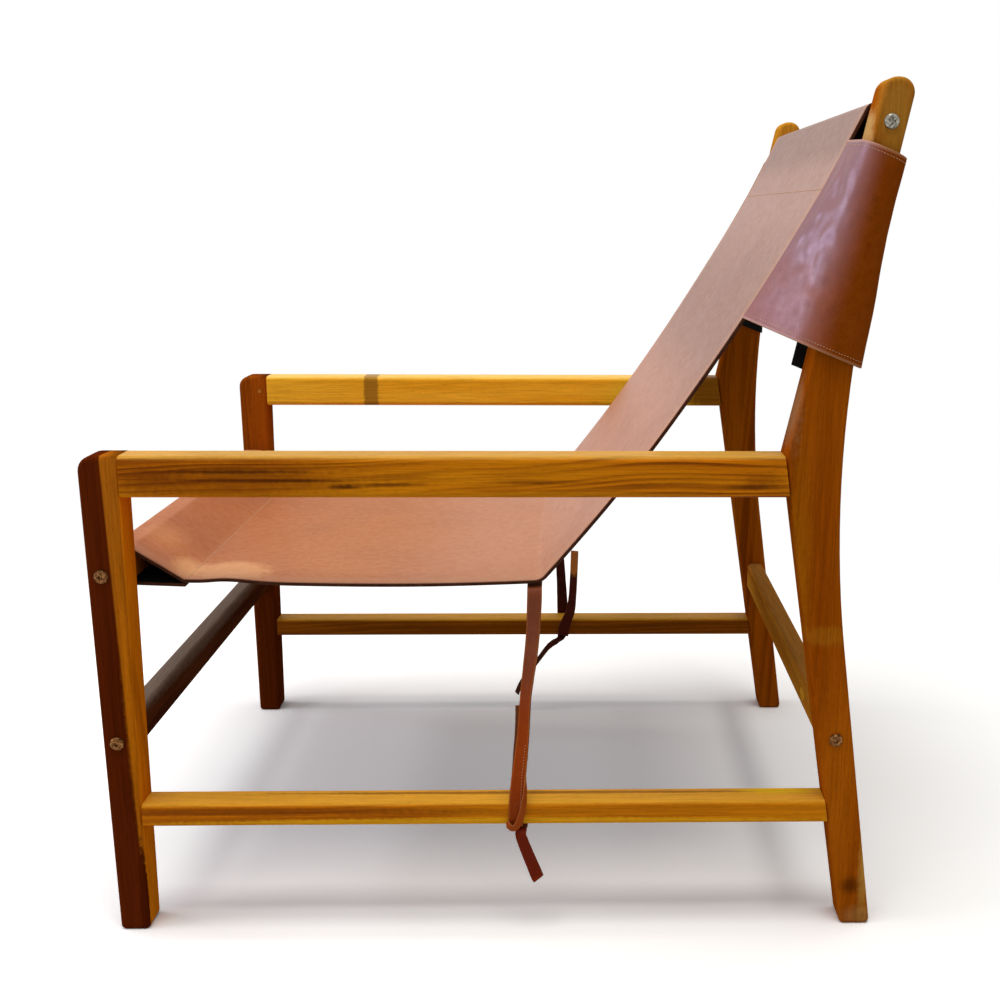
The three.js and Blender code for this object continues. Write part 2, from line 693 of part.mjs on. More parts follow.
/** Share of the way, from the first height to the second, that a height has gone. */
const shareBetween = (z, from, to) => THREE.MathUtils.clamp((z - from) / (to - from), 0, 1);

/** Where a tie is sewn on, along the depth. */
const tieY = (tie) => crease.x - tie.ahead;

const tieOutX = outerX + fitGap + tieThickness / 2;
const tieInX = outerX - sideStretcherThickness - fitGap - tieThickness / 2;
const tieUnderZ = sideStretcherBottom - fitGap - tieThickness / 2;

/** Tie: sewn under the sling, down outside the stretcher, round it and up again behind. */
function tieStrap(tie) {
  const edge = slingHalfWidth(tieY(tie), crease.y);
  const sewnZ = crease.y - slingThickness - fitGap - tieThickness / 2 - seatSag;
  const stretcherTop = sideStretcherBottom + sideStretcherHeight;
  const endZ = stretcherTop + tieEnd;
  const depthAt = (path, i) => {
    const lowest = path.findIndex((point) => point.y <= tieUnderZ);
    const down = shareBetween(path[Math.min(i, lowest)].y, sewnZ, tieUnderZ);
    const up = i > lowest ? shareBetween(path[i].y, tieUnderZ, endZ) : 0;
    return tieY(tie) + tie.lean * down + tie.endLean * up;
  };
  return strap([
    [edge - tieSewn, sewnZ],
    [edge, sewnZ, tieBend],
    [tieOutX, stretcherTop + tieUpright, tieTurn],
    [tieOutX, tieUnderZ, tieThickness],
    [tieInX, tieUnderZ, tieThickness],
    [tieInX, endZ],
  ], tieWidth, depthAt);
}

/** Loose end of the tie: across under the stretcher and down beside it. */
function tieTail(tie) {
  const z = tieUnderZ - tieThickness - fitGap;
  const outside = [tieInX, tieOutX + tieThickness];
  const [from, to] = tie.tailInside ? [tieOutX, tieInX - tieThickness] : outside;
  const depthAt = (path, i) => {
    return tieY(tie) + tie.lean + tie.tailLean * shareBetween(path[i].y, z, z - tie.tailDrop);
  };
  return strap([
    [from, z],
    [to, z, tieThickness],
    [to, z - tie.tailDrop],
  ], tailWidth, depthAt);
}

const chair = new THREE.Group();
const leftSide = new THREE.Group();
const rightSide = new THREE.Group();
rightSide.scale.x = -1;
chair.add(leftSide, rightSide);

/** Adds one named piece to a group, with a material of its own. */
function addPiece(group, name, geometry, finish) {
  const mesh = new THREE.Mesh(geometry, new THREE.MeshStandardMaterial(finish));
  mesh.name = name;
  group.add(mesh);
}

/** Adds a piece and its mirror image, one to each side of the chair. */
function addPair(name, geometry, finish) {
  addPiece(leftSide, `left_${name}`, geometry, finish);
  addPiece(rightSide, `right_${name}`, geometry, finish);
}

addPair('front_leg', frontLeg(), heartwood);
addPair('back_post', backPost(), teak);
addPair('armrest', cutFrom(geometryFrom(sideBar(sideBars.armrest)), [armPin(fitGap)]), goldenTeak);
addPair('side_stretcher', geometryFrom(sideBar(sideBars.side_stretcher)), goldenTeak);
addPair('armrest_peg', armPin(), beech);

const rails = {
  seat_rail: [seatRail, teak, bronze],
  front_stretcher: [frontStretcher, heartwood, bronze],
  rear_stretcher: [rearStretcher, goldenTeak, bronze],
  top_rail: [topRail, teak, steel],
};
Object.entries(rails).forEach(([name, [rail, wood, metal]]) => {
  addPiece(chair, name, crossRail(rail), wood);
  addPair(`${name}_bolt`, connectorBolt(rail), metal);
  addPair(`${name}_barrel_nut`, barrelNut(rail), steel);
  addPair(`${name}_dowel`, railDowel(rail), beech);
});

addPiece(chair, 'sling', sling(), leather);
addPair('cuff', sleeve(cuffLine, -cuffThickness, cuffBottom, cuffTop), cuffLeather);
addPair('cuff_lining', sleeve(liningLine, liningThickness, cuffBottom - liningDrop, cuffTop), canvas);
[['left', leftSide, leftTie], ['right', rightSide, rightTie]].forEach(([side, group, tie]) => {
  addPiece(group, `${side}_tie_strap`, tieStrap(tie), tieLeather);
  addPiece(group, `${side}_tie_tail`, tieTail(tie), tieLeather);
});

export default chair;
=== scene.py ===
"""Leather sling lounge chair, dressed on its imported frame.

Sizes are in metres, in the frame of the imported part: X runs across the chair with the sitter's left at +X,
-Y is its front, and Z is up.
"""

import logging
import math
from bisect import bisect_right
from collections.abc import Callable, Sequence
from dataclasses import dataclass, field
from enum import Enum

import bmesh
import bpy
from bpy.types import Material, Node, NodeSocket, Object, World
from mathutils import Matrix, Vector
from mathutils import noise as drift


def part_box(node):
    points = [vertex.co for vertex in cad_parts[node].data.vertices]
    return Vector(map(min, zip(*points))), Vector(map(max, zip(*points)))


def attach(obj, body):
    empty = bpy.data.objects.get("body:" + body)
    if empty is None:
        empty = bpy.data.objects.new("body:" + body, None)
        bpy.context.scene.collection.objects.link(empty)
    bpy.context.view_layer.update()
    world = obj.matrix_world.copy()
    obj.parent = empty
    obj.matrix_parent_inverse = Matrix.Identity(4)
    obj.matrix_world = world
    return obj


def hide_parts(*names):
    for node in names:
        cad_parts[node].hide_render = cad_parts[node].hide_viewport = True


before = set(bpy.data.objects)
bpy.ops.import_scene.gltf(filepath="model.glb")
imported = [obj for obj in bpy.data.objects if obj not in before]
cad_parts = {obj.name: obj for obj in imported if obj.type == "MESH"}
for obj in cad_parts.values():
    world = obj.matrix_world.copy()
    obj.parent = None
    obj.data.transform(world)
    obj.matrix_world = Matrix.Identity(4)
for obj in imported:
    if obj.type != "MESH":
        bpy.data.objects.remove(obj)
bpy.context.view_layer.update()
BODY = "root"
MM = 0.001
MERGE = 0.01 * MM
CUT_EDGE = math.radians(60)
TIMBER_EDGE = math.radians(40)
BOLT_EDGE = math.radians(38)
CURVE_STEPS = 8
LOG = logging.getLogger("sling_chair")

Shape = bmesh.types.BMesh
Colour = tuple[float, float, float, float]
Entry = NodeSocket | float | str | tuple[float, ...] | Vector
Place = Callable[[float, float], Vector]
Stations = tuple[tuple[float, float, float, float, float], ...]


class Side(Enum):
    """Side of the chair, named for the sitter, with its sign along X."""

    LEFT = 1
    RIGHT = -1

    @property
    def label(self) -> str:
        """Word that starts the names of this side's nodes."""
        return self.name.lower()


class Grain(Enum):
    """Way that a timber's grain runs, as the turn that brings it upright."""

    ACROSS = (0.0, math.pi / 2, 0.0)
    ALONG = (-math.pi / 2, 0.0, 0.0)
    UPRIGHT = (0.0, 0.0, 0.0)


def paint(code: str) -> Colour:
    """Linear colour of a six-digit sRGB code.

    Args:
        code: Six hexadecimal digits, red first.

    Returns:
        The colour as the shader sockets take it.
    """
    shades = [int(code[start:start + 2], 16) / 255 for start in (0, 2, 4)]
    linear = [shade / 12.92 if shade <= 0.04045 else ((shade + 0.055) / 1.055) ** 2.4 for shade in shades]
    return (linear[0], linear[1], linear[2], 1.0)


def smooth_share(value: float, low: float, high: float) -> float:
    """Share of the way from low to high, eased at both ends.

    Args:
        value: The value to place.
        low: Where the share is 0.
        high: Where the share is 1.

    Returns:
        A number from 0 to 1.
    """
    share = min(max((value - low) / (high - low), 0.0), 1.0)
    return share * share * (3 - 2 * share)


def hump(distance: float, width: float) -> float:
    """Bell-shaped swell that is 1 at no distance and fades over the width."""
    return math.exp(-((distance / width) ** 2))


@dataclass(frozen=True)
class Mark:
    """Soft-edged patch of another tone on a finish.

    Attributes:
        centre: Its middle, in metres in the chair's frame.
        size: Its half sizes along the three axes, in metres.
        tone: Its colour code.
        strength: How much of the finish it covers, from 0 to 1.
        soft: Share of its size over which it fades.
    """

    centre: tuple[float, float, float]
    size: tuple[float, float, float]
    tone: str
    strength: float = 0.7
    soft: float = 0.5


@dataclass(frozen=True)
class Tones:
    """Three colour codes of a finish: its lightest, its main one and its deepest."""

    light: str
    main: str
    deep: str


class FinishTree:
    """Node tree of a finish or of the studio, with short ways to add and join its nodes."""

    def __init__(self, owner: Material | World) -> None:
        """Empties the tree of a new material or world."""
        owner.use_nodes = True
        self.owner = owner
        self.tree = owner.node_tree
        self.tree.nodes.clear()

    def add(self, kind: str, entries: dict[str | int, Entry], **settings: str | bool | float) -> Node:
        """Adds a node, joins or fills its sockets and sets its options.

        Args:
            kind: The node's type, without the shader prefix.
            entries: Sockets by name or number, each with a socket to join or a plain value.
            **settings: The node's own options.

        Returns:
            The new node.
        """
        node = self.tree.nodes.new(f"ShaderNode{kind}")
        for option, value in settings.items():
            setattr(node, option, value)
        for key, value in entries.items():
            if isinstance(value, NodeSocket):
                self.tree.links.new(value, node.inputs[key])
            else:
                node.inputs[key].default_value = value
        return node

    def place(self) -> NodeSocket:
        """Place on the chair, in metres."""
        return self.add("TexCoord", {}).outputs["Object"]

    def cut(self, axis: str) -> NodeSocket:
        """Place along one axis of a sheet's flat cut, in metres."""
        flat = self.add("UVMap", {}, uv_map="cut").outputs["UV"]
        return self.add("SeparateXYZ", {0: flat}).outputs[axis]

    def seen(self) -> NodeSocket:
        """Tells what the camera and reflections see from the light that is thrown back.

        Returns:
            1 for what is seen, and 0 for thrown light.
        """
        path = self.add("LightPath", {}).outputs
        mirrored = self.sum("MAXIMUM", path["Is Glossy Ray"], path["Is Transmission Ray"])
        return self.sum("MAXIMUM", path["Is Camera Ray"], mirrored)

    def fitted(self, place: NodeSocket, centre: Sequence[float], turn: Sequence[float] = (0, 0, 0),
               size: Sequence[float] = (1, 1, 1)) -> NodeSocket:
        """Centres, turns and stretches a pattern.

        Args:
            place: The place to start from.
            centre: The pattern's middle.
            turn: Its turn about the three axes.
            size: How far it is stretched along each axis.

        Returns:
            The place in the pattern's own frame.
        """
        entries = {"Vector": place, "Location": tuple(centre), "Rotation": tuple(turn), "Scale": tuple(size)}
        return self.add("Mapping", entries, vector_type="TEXTURE").outputs[0]

    def sum(self, operation: str, first: Entry, second: Entry = 0.0, third: Entry = 0.0) -> NodeSocket:
        """Result of one piece of arithmetic on plain numbers."""
        return self.add("Math", {0: first, 1: second, 2: third}, operation=operation).outputs[0]

    def vector(self, operation: str, first: Entry, second: Entry = (0, 0, 0)) -> NodeSocket:
        """Result of one piece of arithmetic on places: a number for a length or a product, else a place."""
        node = self.add("VectorMath", {0: first, 1: second}, operation=operation)
        return node.outputs["Value" if operation in ("LENGTH", "DOT_PRODUCT") else "Vector"]

    def noise(self, place: NodeSocket, scale: float, detail: float = 3.0, rough: float = 0.55,
              output: str = "Fac") -> NodeSocket:
        """Cloudy pattern at a scale of so many lumps to the metre, as a number or as a colour."""
        entries = {"Vector": place, "Scale": scale, "Detail": detail, "Roughness": rough}
        return self.add("TexNoise", entries).outputs[output]

    def range(self, value: Entry, low: float, high: float, start: float = 0.0,
              end: float = 1.0) -> NodeSocket:
        """Eased step of a value from low to high, given as a number from start to end."""
        entries = {"Value": value, "From Min": low, "From Max": high, "To Min": start, "To Max": end}
        return self.add("MapRange", entries, interpolation_type="SMOOTHSTEP").outputs["Result"]

    def mix(self, share: Entry, first: Entry, second: Entry, way: str = "MIX") -> NodeSocket:
        """Blend of two colours by a share."""
        return self.add("Mix", {0: share, 6: first, 7: second}, data_type="RGBA", blend_type=way).outputs[2]

    def grey(self, value: NodeSocket) -> NodeSocket:
        """A number as a shade of grey."""
        return self.add("CombineXYZ", {0: value, 1: value, 2: value}).outputs[0]

    def ramp(self, value: NodeSocket, stops: Sequence[tuple[float, str]]) -> NodeSocket:
        """Colour that follows a value.

        Args:
            value: The value, from 0 to 1.
            stops: Places on that range, each with its colour code.

        Returns:
            The colour's socket.
        """
        node = self.add("ValToRGB", {"Fac": value})
        elements = node.color_ramp.elements
        while len(elements) < len(stops):
            elements.new(0.5)
        for element, (position, code) in zip(elements, stops):
            element.position = position
            element.color = paint(code)
        return node.outputs["Color"]

    def blot(self, place: NodeSocket, mark: Mark) -> NodeSocket:
        """How much a soft-edged mark covers each place.

        Args:
            place: The place on the chair.
            mark: The mark.

        Returns:
            The share, from 0 to the mark's strength.
        """
        around = self.fitted(place, mark.centre, size=mark.size)
        ragged = self.sum("MULTIPLY_ADD", self.noise(place, 160.0), 0.5, -0.25)
        reach = self.sum("ADD", self.vector("LENGTH", around), ragged)
        return self.range(reach, 1.0 - mark.soft, 1.0, mark.strength, 0.0)

    def marked(self, colour: NodeSocket, place: NodeSocket, marks: Sequence[Mark]) -> NodeSocket:
        """Colour with a row of marks laid over it."""
        for mark in marks:
            colour = self.mix(self.blot(place, mark), colour, paint(mark.tone))
        return colour

    def bump(self, height: NodeSocket, depth: float, strength: float = 1.0) -> NodeSocket:
        """Surface direction over a relief of that depth, in metres."""
        return self.add("Bump", {"Height": height, "Distance": depth, "Strength": strength}).outputs[0]

    def close(self, entries: dict[str | int, Entry]) -> Material:
        """Ends the tree in a surface with these entries.

        Args:
            entries: The surface's sockets, joined or filled.

        Returns:
            The finished material.
        """
        surface = self.add("BsdfPrincipled", entries)
        self.add("OutputMaterial", {"Surface": surface.outputs[0]})
        return self.owner


@dataclass(frozen=True)
class SapLine:
    """Plane in a timber where its heartwood meets paler wood.

    Attributes:
        across: Direction from the heartwood to the paler wood.
        offset: The plane's place along that direction, in metres.
        tones: The paler wood's tones.
        ragged: How far the line wanders, in metres.
    """

    across: tuple[float, float, float]
    offset: float
    tones: Tones
    ragged: float = 0.006


@dataclass(frozen=True)
class Lumps:
    """Cloudy pattern in timber: its lumps to the metre, their length against their width, and its detail."""

    scale: float
    stretch: float
    detail: float

    def pattern(self, tree: FinishTree, wood: NodeSocket) -> NodeSocket:
        """The pattern, drawn out along the grain."""
        return tree.noise(tree.fitted(wood, (0, 0, 0), size=(1, 1, self.stretch)), self.scale, self.detail)


CLOUD = Lumps(24.0, 9.0, 2.0)
STREAK = Lumps(150.0, 30.0, 2.0)
FIBRE = Lumps(700.0, 36.0, 2.0)
PORE = Lumps(1300.0, 12.0, 0.0)


@dataclass(frozen=True)
class WoodFinish:
    """Oiled timber: soft rings about an off-centre pith, slow clouds, dark streaks, fibres and pores.

    Attributes:
        name: The material's name.
        tones: The wood's tones.
        grain: Which way the grain runs.
        pith: The pith's place beside the timber's middle, in metres.
        ring: Width of one ring, in metres.
        lean: How far the pith drifts sideways per metre of length.
        wander: How far the rings wander, in metres.
        figure: Strength of the rings' dark lines.
        streak: Strength of the dark streaks.
        seed: Number that shifts the figure.
        roughness: The oiled surface's roughness.
        gloss: How strongly it reflects.
        painted_top_light: Tone painted on the faces that look up, a painted highlight of the light from
            above, or nothing.
        saps: Where heartwood meets paler wood, if it does.
        marks: Patches of another tone.
    """

    name: str
    tones: Tones
    grain: Grain
    pith: tuple[float, float] = (0.03, 0.06)
    ring: float = 0.008
    lean: tuple[float, float] = (0.02, 0.0)
    wander: float = 0.012
    figure: float = 0.3
    streak: float = 0.3
    seed: float = 0.0
    roughness: float = 0.42
    gloss: float = 0.03
    painted_top_light: str = ""
    saps: tuple[SapLine, ...] = ()
    marks: tuple[Mark, ...] = ()

    def _lines(self, tree: FinishTree, turned: NodeSocket, wood: NodeSocket, cloud: NodeSocket) -> NodeSocket:
        """Dark late wood of the growth rings, which fades in and out along the timber.

        Args:
            tree: The finish's tree.
            turned: Place in the timber, with its grain upright.
            wood: The same place, shifted by the seed.
            cloud: Slow cloud that the lines fade with.

        Returns:
            How dark each place is, from 0 to the figure's strength.
        """
        slow = tree.fitted(wood, (0, 0, 0), size=(1, 1, 4))
        pushed = tree.vector("SUBTRACT", tree.noise(slow, 12.0, 1.5, output="Color"), (0.5, 0.5, 0.5))
        push = tree.vector("MULTIPLY", pushed, (self.wander,) * 3)
        parts = tree.add("SeparateXYZ", {0: tree.vector("ADD", turned, push)})
        sides = []
        for axis, pith, lean in zip("XY", self.pith, self.lean):
            leant = tree.sum("MULTIPLY_ADD", parts.outputs["Z"], lean, -pith)
            sides.append(tree.sum("ADD", parts.outputs[axis], leant))
        flat = tree.add("CombineXYZ", {0: sides[0], 1: sides[1]}).outputs[0]
        turns = tree.sum("DIVIDE", tree.vector("LENGTH", flat), self.ring)
        uneven = tree.noise(tree.add("CombineXYZ", {0: turns}).outputs[0], 0.6, 1.0)
        rings = tree.sum("FRACT", tree.sum("MULTIPLY_ADD", uneven, 2.6, turns))
        late = tree.sum("MULTIPLY", tree.range(rings, 0.2, 0.86), tree.range(rings, 1.0, 0.9))
        return tree.sum("MULTIPLY", late, tree.range(cloud, 0.62, 0.36, self.figure * 0.25, self.figure))

    @staticmethod
    def _stained(tree: FinishTree, tones: Tones, cloud: NodeSocket, dark: NodeSocket) -> NodeSocket:
        """Colour of slow clouds between the light and main tones, with the dark figure over it."""
        clouded = tree.ramp(cloud, ((0.36, tones.main), (0.72, tones.light)))
        return tree.mix(dark, clouded, paint(tones.deep))

    def material(self, centre: Sequence[float]) -> Material:
        """Makes the finish for a timber.

        Args:
            centre: The timber's middle, in metres.

        Returns:
            The finished material.
        """
        tree = FinishTree(bpy.data.materials.new(self.name))
        place = tree.place()
        turned = tree.fitted(place, centre, self.grain.value)
        wood = tree.vector("ADD", turned, (self.seed * 0.37, self.seed * 0.53, self.seed * 1.7))
        cloud, streak, fibre, pore = [lumps.pattern(tree, wood) for lumps in (CLOUD, STREAK, FIBRE, PORE)]
        pores = tree.range(pore, 0.64, 0.74)
        streaks = tree.range(streak, 0.52, 0.74, 0.0, self.streak)
        dark = tree.sum("MAXIMUM", self._lines(tree, turned, wood, cloud), streaks)
        colour = self._stained(tree, self.tones, cloud, dark)
        for sap in self.saps:
            along = tree.vector("DOT_PRODUCT", place, sap.across)
            ragged = tree.sum("MULTIPLY_ADD", cloud, sap.ragged, along)
            share = tree.range(ragged, sap.offset + sap.ragged * 0.33, sap.offset + sap.ragged * 0.7)
            colour = tree.mix(share, colour, self._stained(tree, sap.tones, cloud, dark))
        # Painted highlight: faces that look up blend towards a lighter top tone, as if lit from above.
        if self.painted_top_light:
            up = tree.add("SeparateXYZ", {0: tree.add("NewGeometry", {}).outputs["Normal"]}).outputs["Z"]
            colour = tree.mix(tree.range(up, 0.3, 0.95, 0.0, 0.85), colour, paint(self.painted_top_light))
        colour = tree.marked(colour, place, self.marks)
        shade = tree.sum("MULTIPLY_ADD", pores, -0.14, tree.range(fibre, 0.28, 0.72, 0.86, 1.1))
        relief = tree.sum("MULTIPLY_ADD", pores, -0.8, fibre)
        return tree.close({
            "Base Color": tree.mix(1.0, colour, tree.grey(shade), "MULTIPLY"),
            "Roughness": tree.range(fibre, 0.3, 0.7, self.roughness + 0.08, self.roughness - 0.06),
            "Specular IOR Level": self.gloss,
            "Normal": tree.bump(relief, 0.00018, 0.6),
        })


@dataclass(frozen=True)
class Band:
    """Band of another tone along both edges of a flat cut.

    Attributes:
        axis: "X" for the cut's long edges, "Y" for its ends.
        span: Size of the cut from one of those edges to the other, in metres.
        width: Width of the band, in metres.
        tone: Its colour code.
        strength: How much of the leather it covers, from 0 to 1.
    """

    axis: str
    span: float
    width: float
    tone: str
    strength: float


@dataclass(frozen=True)
class Ageing:
    """Slow change of a leather along its cut.

    Attributes:
        axis: "X" for a change across the cut, "Y" for one along it.
        start: Where on the cut it starts, in metres.
        end: Where it is complete.
        tones: The tones from there on.
        gloss: How strongly the leather reflects from there on, if that changes.
    """

    axis: str
    start: float
    end: float
    tones: Tones
    gloss: float | None = None


@dataclass(frozen=True)
class LeatherFinish:
    """Leather with a pebbled grain, slow mottling and bands along its cut edges.

    Attributes:
        name: The material's name.
        tones: The leather's tones.
        pebble: Size of one pebble of the grain, in metres.
        relief: Depth of the grain, in metres.
        roughness: The surface's roughness.
        gloss: How strongly it reflects.
        polish: Refractive index of its dressing.
        glint: Tint of its reflections.
        mottle: Strength of the mottling.
        bands: Bands along its cut edges.
        ageing: Changes of the leather along its cut.
        marks: Patches of another tone.
    """

    name: str
    tones: Tones
    pebble: float = 0.0011
    relief: float = 0.00012
    roughness: float = 0.5
    gloss: float = 0.3
    polish: float = 1.5
    glint: str = "ffffff"
    mottle: float = 0.5
    bands: tuple[Band, ...] = ()
    ageing: tuple[Ageing, ...] = ()
    marks: tuple[Mark, ...] = ()

    def _mottled(self, tree: FinishTree, tones: Tones, patterns: Sequence[NodeSocket]) -> NodeSocket:
        """Colour of a set of tones, mottled by clouds and darker between the pebbles.

        Args:
            tree: The finish's tree.
            tones: The tones.
            patterns: Slow clouds, fine clouds, and the distance from the pebbles' middles.

        Returns:
            The colour's socket.
        """
        slow, cloud, pebbles = patterns
        drifted = tree.ramp(slow, ((0.3, tones.deep), (0.5, tones.main), (0.7, tones.light)))
        colour = tree.mix(self.mottle * 0.5, paint(tones.main), drifted)
        colour = tree.mix(tree.range(cloud, 0.46, 0.78, 0.0, self.mottle * 0.6), colour, paint(tones.light))
        colour = tree.mix(tree.range(cloud, 0.48, 0.2, 0.0, self.mottle * 0.5), colour, paint(tones.deep))
        return tree.mix(tree.range(pebbles, 0.35, 0.75, 0.0, 0.3), colour, paint(tones.deep))

    def _banded(self, tree: FinishTree, colour: NodeSocket, cloud: NodeSocket) -> NodeSocket:
        """Colour with the bands along the cut edges laid over it.

        Args:
            tree: The finish's tree.
            colour: The colour under the bands.
            cloud: Fine clouds that fray the bands.

        Returns:
            The colour's socket.
        """
        for band in self.bands:
            along = tree.cut(band.axis)
            inside = tree.sum("MINIMUM", along, tree.sum("SUBTRACT", band.span, along))
            ragged = tree.sum("MULTIPLY_ADD", cloud, band.width * 0.3, inside)
            share = tree.range(ragged, band.width * 0.6, band.width * 1.15, band.strength, 0.0)
            colour = tree.mix(share, colour, paint(band.tone))
        return colour

    def material(self) -> Material:
        """Makes the finish."""
        tree = FinishTree(bpy.data.materials.new(self.name))
        place = tree.place()
        slow = tree.noise(place, 8.0, 3.0)
        cloud = tree.noise(place, 110.0, 4.0, 0.65)
        fine = tree.noise(place, 1100.0, 2.0)
        wobbly = tree.vector("MULTIPLY", tree.noise(place, 500.0, 1.0, output="Color"), (0.0008,) * 3)
        cells = tree.vector("ADD", place, wobbly)
        grain = tree.add("TexVoronoi", {"Vector": cells, "Scale": 1.0 / self.pebble}, feature="SMOOTH_F1")
        pebbles = grain.outputs["Distance"]
        patterns = (slow, cloud, pebbles)
        colour = self._mottled(tree, self.tones, patterns)
        gloss: Entry = self.gloss
        for change in self.ageing:
            share = tree.range(tree.cut(change.axis), change.start, change.end)
            colour = tree.mix(share, colour, self._mottled(tree, change.tones, patterns))
            if change.gloss is not None:
                gloss = tree.sum("MULTIPLY_ADD", share, tree.sum("SUBTRACT", change.gloss, gloss), gloss)
        colour = self._banded(tree, tree.marked(colour, place, self.marks), cloud)
        height = tree.sum("MULTIPLY_ADD", fine, 0.35, tree.sum("MULTIPLY", pebbles, -1.0))
        return tree.close({
            "Base Color": colour,
            "Roughness": tree.range(cloud, 0.25, 0.75, self.roughness + 0.06, self.roughness - 0.06),
            "Specular IOR Level": gloss,
            "Specular Tint": paint(self.glint),
            "IOR": self.polish,
            "Normal": tree.bump(height, self.relief),
        })


@dataclass(frozen=True)
class FleshFinish:
    """Raw, fibrous side or cut edge of leather, in two tones."""

    name: str
    light: str
    deep: str

    def material(self) -> Material:
        """Makes the finish."""
        tree = FinishTree(bpy.data.materials.new(self.name))
        place = tree.place()
        nap = tree.noise(place, 1400.0, 3.0, 0.7)
        slow = tree.noise(place, 90.0)
        both = tree.sum("MULTIPLY_ADD", slow, 0.5, tree.sum("MULTIPLY", nap, 0.5))
        return tree.close({
            "Base Color": tree.ramp(both, ((0.34, self.deep), (0.64, self.light))),
            "Roughness": tree.range(nap, 0.3, 0.7, 0.95, 0.78),
            "Specular IOR Level": 0.1,
            "Normal": tree.bump(nap, 0.00025),
        })


@dataclass(frozen=True)
class CanvasFinish:
    """Plain-woven canvas backing, its yarns laid along the flat cut."""

    name: str
    light: str
    deep: str
    yarn: float = 0.0009

    def material(self) -> Material:
        """Makes the finish."""
        tree = FinishTree(bpy.data.materials.new(self.name))
        turn = math.pi / self.yarn
        warp, weft = [tree.sum("SINE", tree.sum("MULTIPLY", tree.cut(axis), turn)) for axis in "XY"]
        weave = tree.sum("MULTIPLY_ADD", tree.sum("MULTIPLY", warp, weft), 0.5, 0.5)
        slub = tree.noise(tree.place(), 240.0)
        tone = tree.sum("MULTIPLY_ADD", slub, 0.5, tree.sum("MULTIPLY", weave, 0.5))
        return tree.close({
            "Base Color": tree.ramp(tone, ((0.2, self.deep), (0.85, self.light))),
            "Roughness": tree.range(slub, 0.3, 0.7, 0.96, 0.84),
            "Specular IOR Level": 0.12,
            "Normal": tree.bump(weave, 0.0002),
        })


@dataclass(frozen=True)
class ThreadFinish:
    """Twisted sewing thread in two tones."""

    name: str
    light: str
    deep: str

    def material(self) -> Material:
        """Makes the finish."""
        tree = FinishTree(bpy.data.materials.new(self.name))
        twist = tree.noise(tree.place(), 2600.0, 2.0)
        return tree.close({
            "Base Color": tree.ramp(twist, ((0.35, self.deep), (0.62, self.light))),
            "Roughness": tree.range(twist, 0.3, 0.7, 0.75, 0.6),
            "Normal": tree.bump(twist, 0.0001),
        })


@dataclass(frozen=True)
class MetalFinish:
    """Plated metal with a cloudy patina in its hollows."""

    name: str
    tones: Tones
    roughness: float

    def material(self) -> Material:
        """Makes the finish."""
        tree = FinishTree(bpy.data.materials.new(self.name))
        place = tree.place()
        cloud = tree.noise(place, 420.0, 4.0)
        fine = tree.noise(place, 3200.0, 2.0)
        stops = ((0.35, self.tones.deep), (0.52, self.tones.main), (0.68, self.tones.light))
        return tree.close({
            "Base Color": tree.ramp(cloud, stops),
            "Metallic": 1.0,
            "Roughness": tree.range(cloud, 0.3, 0.7, self.roughness + 0.12, self.roughness - 0.06),
            "Normal": tree.bump(fine, 0.00004),
        })


def make_piece(name: str, shape: Shape, materials: Sequence[Material]) -> Object:
    """Turns a shape into a smooth-shaded object at the origin.

    Args:
        name: The object's name.
        shape: Its shape, which is freed.
        materials: Its materials, in slot order.

    Returns:
        The new object.
    """
    mesh = bpy.data.meshes.new(name)
    shape.to_mesh(mesh)
    shape.free()
    mesh.shade_smooth()
    for material in materials:
        mesh.materials.append(material)
    piece = bpy.data.objects.new(name, mesh)
    bpy.context.scene.collection.objects.link(piece)
    return piece


def fasten(piece: Object, slot: str, *nodes: str) -> Object:
    """Lets a piece ride on the chair and hides the nodes that it stands for.

    Args:
        piece: The piece.
        slot: Not used.
        *nodes: The nodes that it replaces.

    Returns:
        The piece.
    """
    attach(piece, BODY)
    if nodes:
        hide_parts(*nodes)
    LOG.info("%s: %d faces", piece.name, len(piece.data.polygons))
    return piece


def hung_sheet(name: str, counts: tuple[int, int], cut: tuple[float, float], place: Place, flip: bool,
               materials: Sequence[Material]) -> Object:
    """Cuts a flat sheet and moves each of its points to where it hangs.

    Args:
        name: The sheet's name.
        counts: Numbers of squares across and along the cut.
        cut: Width and length of the cut, in metres.
        place: Gives the hung place of a point by its shares across and along.
        flip: Whether its face is on the other side.
        materials: Its face, back and edge.

    Returns:
        The sheet.
    """
    shape = bmesh.new()
    bmesh.ops.create_grid(shape, x_segments=counts[0], y_segments=counts[1], size=0.5)
    flat = shape.loops.layers.uv.new("cut")
    for polygon in shape.faces:
        for loop in polygon.loops:
            loop[flat].uv = ((loop.vert.co.x + 0.5) * cut[0], (loop.vert.co.y + 0.5) * cut[1])
    for vertex in shape.verts:
        vertex.co = place(vertex.co.x + 0.5, vertex.co.y + 0.5)
    if flip:
        bmesh.ops.reverse_faces(shape, faces=shape.faces)
    return make_piece(name, shape, materials)


def thicken(piece: Object, thickness: float, ease: float, offset: float = -1.0) -> None:
    """Gives a sheet its thickness and eases its cut edges.

    Args:
        piece: The sheet.
        thickness: Its thickness, in metres.
        ease: Width of the eased edge, in metres.
        offset: Which way it thickens: -1 behind its face, 0 to both sides, 1 in front of it.
    """
    wall = piece.modifiers.new("wall", "SOLIDIFY")
    wall.thickness = thickness
    wall.offset = offset
    wall.use_even_offset = True
    wall.material_offset = 1
    wall.material_offset_rim = 2
    eased = piece.modifiers.new("eased_edge", "BEVEL")
    eased.width = ease
    eased.segments = 2
    eased.limit_method = "ANGLE"
    eased.angle_limit = CUT_EDGE


